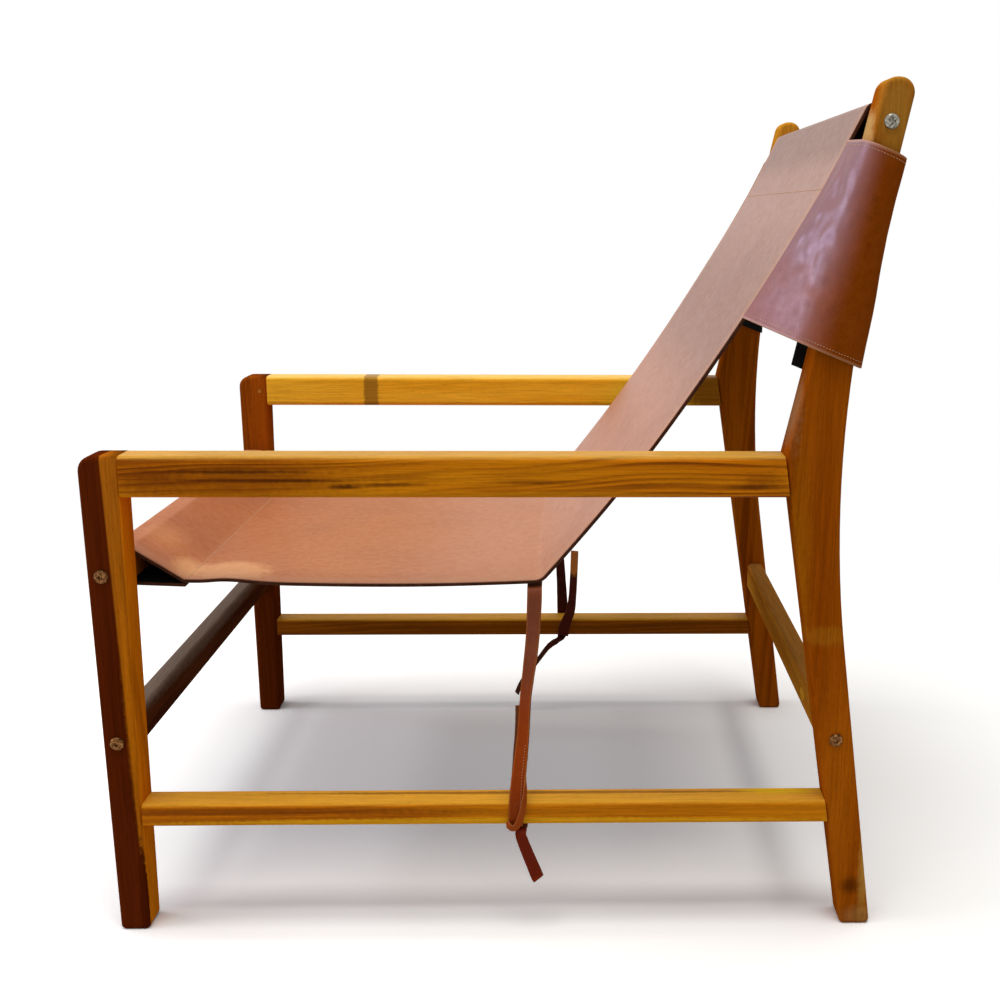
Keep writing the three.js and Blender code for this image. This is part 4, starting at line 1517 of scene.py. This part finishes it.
    def build(self) -> Object:
        """Hangs the sheet and sews its seams.

        Returns:
            The sheet.
        """
        # Over the front pocket: a darker patch of painted shade between the rail and the seam, and paler
        # patches at its near end that are painted highlights on the puckers, partly wear.
        marks = (
            Mark((0.218, -0.351, 0.398), (0.08, 0.018, 0.03), "b0602a", 0.5, 0.9),
            Mark((0.2, -0.358, 0.39), (0.06, 0.034, 0.03), "d48c48", 0.4, 0.9),
            Mark((0.247, -0.32, 0.374), (0.045, 0.024, 0.02), "e2a468", 0.7, 0.8),
            Mark((0.245, -0.276, 0.368), (0.045, 0.05, 0.02), "e0a46c", 0.6, 0.5),
        )
        width, length = self.half_width * 2, self.profile.length
        bands = (Band("X", width, 26 * MM, "c48a60", 0.3), Band("X", width, 3 * MM, "6e3a1e", 0.7))
        front, fold = self.front_at, self.crease_at
        # Tone shifts along the cut: from the back of the seat upwards the pinkish grey is mostly a painted
        # sheen of grazing reflection, the darker band across the middle of the back is painted shade, and the
        # greyer top pocket carries the same painted sheen.
        ageing = (
            Ageing("Y", front - 0.02, front + 0.15, Tones("be7b44", "b26a34", "884a20")),
            Ageing("Y", front + 0.15, fold - 0.03, Tones("c48b6a", "b87d5c", "8e5c42")),
            Ageing("Y", fold - 0.03, fold + 0.12, Tones("c28f7a", "b6826c", "8a5c4a")),
            Ageing("Y", fold + 0.18, fold + 0.3, Tones("a87e6e", "986e5e", "704c3e")),
            Ageing("Y", fold + 0.32, fold + 0.46, Tones("b89082", "aa8274", "7e5a4c")),
            Ageing("Y", self.top_at - 0.005, self.top_at + 0.02, Tones("a07a6e", "927064", "6c4c42")),
        )
        tones = Tones("ba6a26", "ab5a18", "7e3c0e")
        face = LeatherFinish("sling_leather", tones, relief=0.00007, roughness=0.5, gloss=0.35, mottle=0.4,
                             bands=bands, ageing=ageing, marks=marks)
        backing = CanvasFinish("sling_canvas", "1b1a19", "090908")
        edge = FleshFinish("sling_cut_edge", "5a3420", "2e1810")
        rows = len(self.profile.points) - 1
        reach = self.profile.reach

        def place(share: float, along: float) -> Vector:
            """Hung place of a point of the cut."""
            return self.point(share, reach[round(along * rows)])

        materials = (face.material(), backing.material(), edge.material())
        piece = hung_sheet("sling_leather", (self.columns, rows), (width, length), place, False, materials)
        thicken(piece, self.thickness - 0.3 * MM, 0.6 * MM)
        fasten(piece, "leather", "sling")
        seams = self._seams()
        return piece

    def _seams(self) -> Object:
        """Sews both pockets' seams, through the face and the hems behind it.

        Returns:
            The threads.
        """
        shape = bmesh.new()
        row = ThreadRow(4.2 * MM, 1.1 * MM, 4.8 * MM)
        shares = [0.008 + 0.984 * k / 160 for k in range(161)]
        inset = 2.5 * MM
        hems = (inset, self.profile.length - inset)
        for distance in (self.front_at + inset, self.top_at - inset, *hems):
            out = self.out(distance)
            row.sew(shape, [self.point(share, distance) for share in shares], lambda _, out=out: out)
        thread = ThreadFinish("sling_thread", "dab492", "a88064")
        return fasten(make_piece("sling_seam_threads", shape, (thread.material(),)), "leather")


@dataclass
class Cuff:
    """Leather sleeve of one post, sewn to the sling's edge, with its canvas lining.

    Attributes:
        side: The side of the chair.
        sling: The sling that it holds.
        inner: Inner face of the post, from the chair's middle.
        outer: Its outer face.
        edge_round: Rounding of the post's edges.
        fit: Clearance to the post.
        thickness: Thickness of the leather.
        top: Height of its top corner, at the sling's edge.
        drop: Its length along that edge, measured upright.
        slope: Fall of its edges towards the back.
        slack: How far it stands off the post's back.
        bow: How far the leather bows out from the post.
        ease: Number of places that its bends are eased over.
        lining_thickness: Thickness of the canvas.
        lining_drop: How far the canvas hangs below the leather.
        lining_slack: How far the canvas may stand ahead of the post.
        knee: Front of the post at the armrest's top, as depth and height.
        tip: Front of the post at its tip.
        back_line: Corners of the post's back, as depths and heights.
        back_sweep: Radius of the post's back behind the knee.
        wrinkles: Each wrinkle's shares along the plan and up the sleeve, slant in radians and height in
            millimetres.
    """

    side: Side
    sling: Sling
    inner: float = 292 * MM
    outer: float = 330 * MM
    edge_round: float = 4 * MM
    fit: float = 0.3 * MM
    thickness: float = 3 * MM
    top: float = 800 * MM
    drop: float = 167 * MM
    slope: float = 0.4
    slack: float = 4 * MM
    bow: float = 6 * MM
    ease: int = 13
    lining_thickness: float = 1.5 * MM
    lining_drop: float = 20 * MM
    lining_slack: float = 10 * MM
    knee: tuple[float, float] = (286 * MM, 504 * MM)
    tip: tuple[float, float] = (363 * MM, 853 * MM)
    back_line: tuple[tuple[float, float], ...] = ((0.395, 0.0), (0.3255, 0.514), (0.394, 0.853))
    back_sweep: float = 1.22
    wrinkles: tuple[tuple[float, float, float, float], ...] = (
        (0.2, 0.62, 0.5, 1.7), (0.3, 0.7, 0.62, -1.6), (0.14, 0.5, 0.4, 1.3), (0.34, 0.52, 0.55, 1.2),
        (0.24, 0.36, 0.3, -1.0), (0.42, 0.42, 0.2, 0.9), (0.16, 0.76, 0.7, 1.0), (0.5, 0.3, 0.1, -0.7),
        (0.38, 0.2, 0.0, 0.7),
    )
    post_back: list[Vector] = field(init=False)

    def __post_init__(self) -> None:
        """Lays out the back of the post."""
        heel, knee, tip = [Vector(corner) for corner in self.back_line]
        self.post_back = [heel, *rounded_corner(heel, knee, tip, self.back_sweep), tip]

    def _front_y(self, height: float) -> float:
        """Depth of the post's front at a height."""
        share = (height - self.knee[1]) / (self.tip[1] - self.knee[1])
        return self.knee[0] + (self.tip[0] - self.knee[0]) * share

    def _back_y(self, height: float) -> float:
        """Depth of the post's back.

        Args:
            height: The height to look at.

        Returns:
            The depth at that height.
        """
        for start, end in zip(self.post_back, self.post_back[1:]):
            if height <= end.y:
                return start.x + (end.x - start.x) * (height - start.y) / (end.y - start.y)
        return self.post_back[-1].x

    def _meet(self, line: Callable[[float], float], edge: Vector) -> float:
        """Follows a slanted level from the sling's edge to a line of the post.

        Args:
            line: Gives the depth of that line at a height.
            edge: Depth and height of the sling's edge.

        Returns:
            The depth at which they meet.
        """
        height = edge.y
        for _ in range(12):
            height = edge.y - self.slope * (line(height) - edge.x)
        return line(height)

    def _leather_plan(self, edge: Vector) -> Line:
        """Plan of the leather's outer face at one level.

        Args:
            edge: Depth and height of the sling's edge at that level.

        Returns:
            The line, from the sling's edge round the post's outside to its back, bowed like stiff leather.
        """
        front_y, rear_y = self._meet(self._front_y, edge), self._meet(self._back_y, edge)
        stand = self.fit + self.thickness
        behind = rear_y + self.slack + stand
        corners = [
            Vector((self.sling.half_width + self.fit, edge.x - 0.5 * MM)),
            Vector((self.outer + stand + self.bow, front_y - self.bow * 0.6)),
            Vector((self.outer + stand + self.bow, behind)),
            Vector(((self.inner + self.outer) / 2, behind)),
        ]
        return Line(corners).spaced(1.5 * MM).eased(self.ease)

    def _lining_plan(self, edge: Vector) -> Line:
        """Plan of the lining at one level.

        Args:
            edge: Depth and height of the sling's edge at that level.

        Returns:
            The line, from just ahead of the post, along its inside, to its back.
        """
        front_y, rear_y = self._meet(self._front_y, edge), self._meet(self._back_y, edge)
        half = self.sling.half_width
        leather = edge.x + (front_y - edge.x) * (self.inner - half) / (self.outer - half)
        room = (front_y - leather) / 2 - self.lining_thickness
        slack = min(max(room, -self.edge_round), self.lining_slack)
        back = Vector((self.inner + self.edge_round, rear_y - self.edge_round))
        turn = arc_points(back, self.edge_round + self.fit, math.pi, math.pi / 2)
        start = Vector((self.inner - self.fit, front_y - slack))
        return Line([start, *turn, Vector(((self.inner + self.outer) / 2, rear_y + self.fit))])

    def _raised(self, plan: Line, share: float, edge: Vector, dent: float = 0.0) -> Vector:
        """Place on a sleeve.

        Args:
            plan: The sleeve's plan at that level.
            share: Place along the plan, from 0 to 1.
            edge: Depth and height of the sling's edge at that level.
            dent: How far the place is pushed out of the sleeve.

        Returns:
            The place in the chair's frame.
        """
        distance = share * plan.length
        flat = plan.at(distance)
        flat -= plan.way(distance, 1.5 * MM).orthogonal() * dent
        return Vector((self.side.value * flat.x, flat.y, edge.y - self.slope * (flat.y - edge.x)))

    def _dent(self, share: float, level: float) -> float:
        """Swell of the leather: a slack belly and a few slanted wrinkles in its upper front.

        Args:
            share: Place along the plan, from 0 to 1.
            level: Place up the sleeve, from 0 to 1.

        Returns:
            How far it stands out, in metres.
        """
        inside = smooth_share(share, 0.0, 0.12) * smooth_share(share, 1.0, 0.8)
        middle = smooth_share(level, 0.0, 0.25) * smooth_share(level, 1.0, 0.8)
        belly = 2.0 * MM * hump(share - 0.33, 0.22)
        flip = 1.0 if self.side is Side.LEFT else 0.7
        wrinkles = 0.0
        for at, height, slant, size in self.wrinkles:
            side, up = share - at * flip, level - height
            along = side * math.cos(slant) + up * math.sin(slant)
            across = up * math.cos(slant) - side * math.sin(slant)
            wrinkles += size * MM * hump(across, 0.045) * hump(along, 0.12)
        slow = 1.1 * MM * drift.noise(Vector((share * 5, level * 4, 4.4 * flip)))
        lumps = 0.8 * MM * drift.noise(Vector((share * 14 + level * 5, level * 10 - share * 6, 7.1 * flip)))
        creased = belly + wrinkles * 1.3 + lumps * smooth_share(share, 0.85, 0.4)
        return inside * middle * creased + slow * middle * smooth_share(share, 0.0, 0.1)

    def _edge(self, level: float, drop: float) -> Vector:
        """Depth and height of the sling's edge at a level, from 0 at the sleeve's foot to 1 at its top."""
        height = self.top - drop * (1 - level)
        return Vector((self.sling.face_y(height), height))

    def leather_point(self, share: float, level: float) -> Vector:
        """Place on the leather's outer face by its shares along the plan and up the sleeve."""
        edge = self._edge(level, self.drop)
        return self._raised(self._leather_plan(edge), share, edge, self._dent(share, level))

    def lining_point(self, share: float, level: float) -> Vector:
        """Place on the lining's face by its shares along the plan and up the sleeve."""
        edge = self._edge(level, self.drop + self.lining_drop)
        return self._raised(self._lining_plan(edge), share, edge)

    @staticmethod
    def _flat(point: Place) -> tuple[float, float]:
        """Width and length of a sleeve's flat cut, measured along its middle lines."""
        shares = [k / 40 for k in range(41)]
        return Line([point(k, 0.5) for k in shares]).length, Line([point(0.5, k) for k in shares]).length

    def build(self) -> None:
        """Wraps the leather and the lining round the post and sews the leather's edges."""
        name = self.side.label
        left = self.side is Side.LEFT
        cut = self._flat(self.leather_point)
        bands = (Band("Y", cut[1], 3.2 * MM, "b07a54", 0.75),)
        worn = Ageing("Y", cut[1] * 0.55, cut[1] * 0.2, Tones("9c5424", "8a4414", "542608"), 0.6)
        outside = Ageing("X", cut[0] * 0.36, cut[0] * 0.68, Tones("9c4e1a", "8e4208", "562404"), 0.0)
        # The lilac glint tints the cuff's reflections with the cool colour of the light, painted into the
        # leather.
        finish = LeatherFinish(f"{name}_cuff_leather", Tones("864214", "72340e", "441c05"), pebble=0.0008,
                               relief=0.00006, roughness=0.43, gloss=0.92, polish=1.95, glint="d4cced",
                               mottle=0.8, bands=bands, ageing=(worn, outside))
        flesh = FleshFinish(f"{name}_cuff_flesh", "241a14", "120d0a")
        tan = FleshFinish(f"{name}_cuff_cut_edge", "b9834f", "7c4a24")
        materials = (finish.material(), flesh.material(), tan.material())
        piece = hung_sheet(f"{name}_cuff_leather", (72, 64), cut, self.leather_point, not left, materials)
        thicken(piece, self.thickness - 0.2 * MM, 0.6 * MM)
        fasten(piece, "cuff_leather", f"{name}_cuff")
        threads = self._threads()
        canvas = CanvasFinish(f"{name}_lining_canvas", "201f1e", "0b0a0a").material()
        size = self._flat(self.lining_point)
        lining = hung_sheet(f"{name}_cuff_lining_canvas", (28, 60), size, self.lining_point, left,
                            (canvas,) * 3)
        thicken(lining, self.lining_thickness, 0.3 * MM, 1.0)
        fasten(lining, "canvas", f"{name}_cuff_lining")

    def _threads(self) -> Object:
        """Sews a row of stitches along the leather's top and bottom edges.

        Returns:
            The threads.
        """
        shape = bmesh.new()
        row = ThreadRow(2.3 * MM, 0.7 * MM, 3.1 * MM)
        shares = [0.02 + 0.95 * k / 120 for k in range(121)]
        for level in (0.028, 0.972):
            row.sew(shape, [self.leather_point(share, level) for share in shares], self._out)
        name = self.side.label
        thread = ThreadFinish(f"{name}_cuff_thread", "e0bc98", "a06c46")
        return fasten(make_piece(f"{name}_cuff_threads", shape, (thread.material(),)), "cuff_leather")

    def _out(self, place: Vector) -> Vector:
        """Way out of the sleeve at a place on it."""
        middle = self.side.value * (self.inner + self.outer) / 2
        return Vector((place.x - middle, place.y - self._front_y(place.z) - 0.02, 0.0)).normalized()


@dataclass
class Strap:
    """Strap bent along stations.

    Attributes:
        stations: Each a place in millimetres, a turn in degrees and a width in millimetres.
        across: The way across the strap before it is turned.
        cup: How far the strap's middle stands out.
    """

    stations: Stations
    across: Vector
    cup: float = 0.35 * MM
    line: Line = field(init=False)
    reach: list[float] = field(init=False)

    def __post_init__(self) -> None:
        """Lays out the strap's middle line and measures where its stations are."""
        self.line = smooth_line([station[:3] for station in self.stations])
        self.reach = self.line.reach[::CURVE_STEPS]

    def flat(self) -> tuple[float, float]:
        """Mean width and length of the strap before it is bent."""
        widths = [station[4] * MM for station in self.stations]
        return sum(widths) / len(widths), self.line.length

    def _bend(self, distance: float) -> tuple[float, float]:
        """Turn and width of the strap, eased from station to station.

        Args:
            distance: How far along the strap to look.

        Returns:
            The turn in radians and the width in metres.
        """
        i = min(max(bisect_right(self.reach, distance) - 1, 0), len(self.reach) - 2)
        share = smooth_share(distance, self.reach[i], self.reach[i + 1])
        turn, width = [low + (high - low) * share
                       for low, high in zip(self.stations[i][3:], self.stations[i + 1][3:])]
        return math.radians(turn), width * MM

    def _place(self, share: float, along: float) -> Vector:
        """Moves a point of the flat strap to its place.

        Args:
            share: Its share across the strap.
            along: Its share along the strap.

        Returns:
            The place.
        """
        distance = along * self.line.length
        turn, width = self._bend(distance)
        way = self.line.way(distance, 1.0 * MM)
        flat = (self.across - way * self.across.dot(way)).normalized()
        flat = Matrix.Rotation(turn, 3, way) @ flat
        side = share * 2 - 1
        cup = flat.cross(way) * (self.cup * (1 - side ** 2))
        return self.line.at(distance) + flat * (side * width / 2) + cup

    def build(self, name: str, rows: int, thickness: float, flip: bool,
              materials: Sequence[Material]) -> Object:
        """Cuts the strap and bends it.

        Args:
            name: The strap's name.
            rows: Number of squares along it.
            thickness: Its thickness, in metres.
            flip: Whether its grain is on the other side.
            materials: Its grain side, flesh side and edge.

        Returns:
            The strap.
        """
        size = (max(station[4] for station in self.stations) * MM, self.line.length)
        piece = hung_sheet(name, (8, rows), size, self._place, flip, materials)
        thicken(piece, thickness, 0.45 * MM, 0.0)
        return piece


STRAP_GRAIN = {"pebble": 0.0007, "relief": 0.00005, "roughness": 0.4, "gloss": 0.06}


@dataclass
class Tie:
    """Leather strap that pulls the sling's crease down to a side stretcher, and its loose tail.

    Attributes:
        side: The side of the chair.
        thickness: Thickness of the strap.
        pale_end: Worn upper half of the right strap's free end.
    """

    side: Side
    thickness: float = 2.2 * MM
    pale_end: Mark = Mark((-0.293, 0.0808, 0.232), (0.02, 0.014, 0.024), "d07a34", 0.95, 0.25)

    def _strap_stations(self) -> Stations:
        """Stations of the strap on this side."""
        if self.side is Side.LEFT:
            return (
                (233, 39.4, 351.6, 0, 15.5), (248, 39.4, 351.4, 0, 15.5), (258.5, 39.6, 349, 0, 15.5),
                (264, 39.4, 338, 0, 15.5), (272, 38, 309, 2, 14.6), (281, 35.6, 284, 8, 14.2),
                (289, 32.6, 262, 20, 13.4), (296, 30.4, 244, 27, 13), (303, 29.2, 224, 26, 13),
                (310, 27.8, 204, 20, 13.2), (318, 25.6, 184, 10, 14), (325.5, 23.4, 167, 3, 15),
                (331, 21.8, 150, 0, 15.4), (331.7, 20.9, 134, 0, 15.4), (331.2, 20.2, 119, 0, 15.4),
                (326.5, 20, 115.3, 0, 15), (311, 20, 115.2, 0, 15), (297, 20.2, 115.4, 0, 15),
                (292.7, 20.4, 119, 0, 15), (292, 21, 132, 0, 15), (292, 21.5, 152, 0, 14),
                (292, 22.6, 180, 0, 12), (291.6, 24, 204, 0, 10.8), (291.2, 24.6, 220, 0, 10.4),
                (290.8, 24.6, 234, 0, 10.2),
            )
        return (
            (-233, 45, 351.6, 0, 15), (-248, 45.2, 351.4, 0, 15), (-258.5, 45.6, 349, 0, 15),
            (-264, 46.4, 338, 0, 15), (-273, 50.4, 306, -6, 14), (-285, 56, 264, -14, 12.5),
            (-296, 59.2, 236, -14, 12.5), (-310, 61, 200, -8, 13.5), (-323, 62, 171, -4, 15),
            (-330.6, 62.6, 151, 0, 16), (-331.7, 62.8, 132, 0, 16), (-331.2, 62.9, 119, 0, 16),
            (-326.5, 63, 115.3, 0, 16), (-311, 63.2, 115.2, 0, 16), (-297, 63.5, 115.4, 0, 16),
            (-292.7, 63.8, 119, 0, 16), (-291.9, 65.5, 131, 0, 16), (-291.7, 70, 143, 0, 14.5),
            (-292.3, 75, 156, -8, 13), (-293.5, 78, 180, -14, 11.5), (-293.5, 80, 216, -14, 11),
            (-293, 81.2, 248, -14, 11),
        )

    def _tail_stations(self) -> Stations:
        """Stations of the loose tail on this side."""
        if self.side is Side.LEFT:
            return (
                (300, 27, 112.2, 0, 11), (318, 26.6, 112, 0, 11), (330, 25.8, 112.4, 0, 11),
                (335.4, 25.4, 109, 0, 11), (335.8, 27.4, 102, -4, 11.5), (335, 31.4, 90, -8, 12),
                (334, 36, 77, -8, 12.5), (333.8, 40, 66, -4, 13), (334.6, 42.2, 60.5, 8, 13),
                (336, 43.6, 58.8, 22, 12.5),
            )
        return (
            (-322, 62, 112.4, 0, 12), (-308, 62, 112.2, 0, 12), (-297, 60, 111.6, 0, 11),
            (-291.2, 54, 109, 20, 10), (-290, 46.5, 104.5, 48, 9.5), (-290.2, 39, 97, 60, 9.5),
            (-290.5, 26, 79, 66, 9.5), (-290.5, 12.5, 60.5, 70, 9.5), (-290, 0.5, 43.5, 66, 9.5),
            (-290, -6.3, 26, 58, 10),
        )

    def build(self) -> None:
        """Lays the strap and its tail."""
        name = self.side.label
        left = self.side is Side.LEFT
        marks = () if left else (self.pale_end,)
        # Painted highlights: paler orange bands along the left strap's long edges.
        rim_highlights = (Band("X", 15.5 * MM, 1.8 * MM, "c4702c", 0.35),) if left else ()
        oiled = Ageing("Y", 0.09, 0.17, Tones("a84810", "983c08", "5a1e04") if left else DARK_STRAP)
        tones = Tones("94543a", "84452c", "582a18") if left else DARK_STRAP
        grain = LeatherFinish(f"{name}_tie_leather", tones, mottle=0.6, bands=rim_highlights, ageing=(oiled,),
                              marks=marks, **STRAP_GRAIN)
        dark = LeatherFinish(f"{name}_tie_tail_leather", Tones("862a0a", "701f06", "461002"), mottle=0.2,
                             **STRAP_GRAIN)
        flesh = FleshFinish(f"{name}_tie_flesh", *(("8c5230", "5d2f18") if left else ("4e1c0e", "30100a")))
        edge = FleshFinish(f"{name}_tie_cut_edge", "8a5a36", "5a3019")
        materials = (grain.material(), flesh.material(), edge.material())
        tail_materials = (dark.material(), *materials[1:])
        across = Vector((0.0, 1.0, 0.0)) * self.side.value
        pull = Strap(self._strap_stations(), across)
        strap = pull.build(f"{name}_tie_strap_leather", 220, self.thickness, True, materials)
        fasten(strap, "tie_leather", f"{name}_tie_strap")
        pull.flat()
        self._dressings() if left else []
        loose = Strap(self._tail_stations(), across)
        tail = loose.build(f"{name}_tie_tail_leather", 110, self.thickness, True, tail_materials)
        fasten(tail, "tie_leather", f"{name}_tie_tail")
        loose.flat()

    def _dressings(self) -> list[Object]:
        """Lays the band round the left strap's foot and sews the strap.

        Returns:
            The band and the stitches.
        """
        band = (
            (331.5, 30.6, 172, 0, 3), (334, 30.2, 156, 40, 4.5), (335.4, 28.6, 142, 60, 5.5),
            (336.4, 26, 130, 68, 6.5), (337, 22.4, 120.8, 72, 7), (337, 18, 117, 72, 7),
            (336.2, 14, 118.8, 66, 6.5), (333.6, 11.8, 122.5, 40, 5),
        )
        grain = LeatherFinish("left_tie_band_leather", Tones("b8581c", "a2480e", "6a2a08"), mottle=0.3,
                              **STRAP_GRAIN).material()
        edge = FleshFinish("left_tie_band_edge", "b06a36", "7c421c").material()
        loop = Strap(band, Vector((1.0, 0.0, 0.0)))
        piece = loop.build("left_tie_knot_band", 64, 1.9 * MM, False, (grain, edge, edge))
        return [fasten(piece, "tie_leather"), fasten(self._stitches(), "tie_leather")]

    def _stitches(self) -> Object:
        """Sews a short row of pale stitches down the strap, just above the stretcher.

        Returns:
            The threads.
        """
        shape = bmesh.new()
        line = smooth_line(((316.5, 30.5, 201), (326.6, 27.6, 175), (332.4, 26, 152), (333.1, 24.8, 134)))
        ThreadRow(1.7 * MM, 0.8 * MM, 3.0 * MM).sew(shape, line.points, lambda _: Vector((1.0, 0.0, 0.0)))
        thread = ThreadFinish(f"{self.side.label}_tie_thread", "dba67e", "a8683f")
        return make_piece(f"{self.side.label}_tie_threads", shape, (thread.material(),))


@dataclass
class Studio:
    """Camera, floor and soft light.

    Attributes:
        eye: The camera's place.
        yaw: Its turn about the upright axis, in degrees.
        pitch: How far it looks down, in degrees.
        roll: Its roll, in degrees.
        lens: Its focal length, in millimetres on a 36 mm sensor.
        shift: How far the view is shifted, as shares of its width.
        fill: Strength of the even light from all round.
        floor_seen: Floor's paleness as the camera and reflections see it.
        floor_bounce: Its paleness in the light that it throws back.
    """

    eye: tuple[float, float, float] = (1.5642, 0.0821, 0.7323)
    yaw: float = 1.5223
    pitch: float = 14.3907
    roll: float = 0.3187
    lens: float = 46.8
    shift: tuple[float, float] = (-0.1087, 0.0459)
    fill: float = 0.38
    floor_seen: float = 1.26
    floor_bounce: float = 0.55

    def build(self) -> None:
        """Sets up the camera, the floor and the lamps."""
        bpy.context.scene.view_settings.view_transform = "Standard"
        self._camera()
        self._world()
        self._floor()
        self._lamp("overhead_softbox", (0.65, -0.1, 4.5), (0.0, -0.05, 0.3), (3.0, 3.0), 132.0, "fdfbf5")
        self._lamp("front_softbox", (0.15, -2.7, 1.4), (0.25, 0.3, 0.72), (2.2, 1.2), 31.0, "f6f4ff")

    def _camera(self) -> None:
        """Makes the camera and turns it to the photographed view."""
        yaw, pitch, roll = [math.radians(angle) for angle in (self.yaw, self.pitch, self.roll)]
        ahead = Vector((-math.cos(yaw) * math.cos(pitch), math.sin(yaw) * math.cos(pitch), -math.sin(pitch)))
        level = ahead.cross(Vector((0.0, 0.0, 1.0))).normalized()
        rise = level.cross(ahead)
        right = level * math.cos(roll) + rise * math.sin(roll)
        up = rise * math.cos(roll) - level * math.sin(roll)
        view = bpy.data.cameras.new("view")
        view.lens = self.lens
        view.sensor_width = 36.0
        view.shift_x, view.shift_y = self.shift
        camera = bpy.data.objects.new("view", view)
        turn = Matrix((right, up, -ahead)).transposed().to_4x4()
        camera.matrix_world = Matrix.Translation(self.eye) @ turn
        bpy.context.scene.collection.objects.link(camera)
        bpy.context.scene.camera = camera

    def _world(self) -> None:
        """Makes the even light, and the white that the camera and reflections see behind it."""
        world = bpy.data.worlds.new("studio")
        bpy.context.scene.world = world
        tree = FinishTree(world)
        strength = tree.sum("MULTIPLY_ADD", tree.seen(), 1.0 - self.fill, self.fill)
        light = tree.add("Background", {"Color": (1.0, 1.0, 1.0, 1.0), "Strength": strength})
        tree.add("OutputWorld", {"Surface": light.outputs[0]})

    def _floor(self) -> None:
        """Lays the white floor, which keeps the chair's shadow."""
        shape = bmesh.new()
        bmesh.ops.create_circle(shape, cap_ends=True, segments=64, radius=30.0)
        tree = FinishTree(bpy.data.materials.new("studio_floor"))
        seen = tree.seen()
        more = self.floor_seen - self.floor_bounce
        pale = tree.grey(tree.sum("MULTIPLY_ADD", seen, more, self.floor_bounce))
        matt = tree.add("BsdfDiffuse", {"Color": pale})
        glow = tree.add("Emission", {"Color": (1.0, 1.0, 1.0, 1.0), "Strength": 1.0})
        away = tree.vector("LENGTH", tree.place())
        far = tree.sum("MULTIPLY", seen, tree.range(away, 0.75, 1.6))
        both = tree.add("MixShader", {0: far, 1: matt.outputs[0], 2: glow.outputs[0]})
        tree.add("OutputMaterial", {"Surface": both.outputs[0]})
        make_piece("studio_floor", shape, (tree.owner,))

    def _lamp(self, name: str, place: Sequence[float], target: Sequence[float], size: Sequence[float],
              power: float, tint: str) -> None:
        """Hangs a softbox.

        Args:
            name: The lamp's name.
            place: Where it hangs.
            target: Where it points.
            size: Its width and height, in metres.
            power: Its power, in watts.
            tint: Its colour code.
        """
        light = bpy.data.lights.new(name, "AREA")
        light.shape = "RECTANGLE"
        light.size, light.size_y = size
        light.energy = power
        light.color = paint(tint)[:3]
        lamp = bpy.data.objects.new(name, light)
        lamp.location = place
        lamp.rotation_euler = (Vector(target) - Vector(place)).to_track_quat("-Z", "Y").to_euler()
        bpy.context.scene.collection.objects.link(lamp)


def write_sizes() -> None:
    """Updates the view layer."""
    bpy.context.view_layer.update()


def main() -> None:
    """Builds the chair's pieces in order and reports each one."""
    logging.basicConfig(level=logging.INFO, format="%(message)s")
    Studio().build()
    for side in Side:
        SideFrame(side).build()
    CrossRails().build()
    Fittings().build()
    sling = Sling()
    sling.build()
    for side in Side:
        Cuff(side, sling).build()
        Tie(side).build()
    write_sizes()


if __name__ == "__main__":
    main()
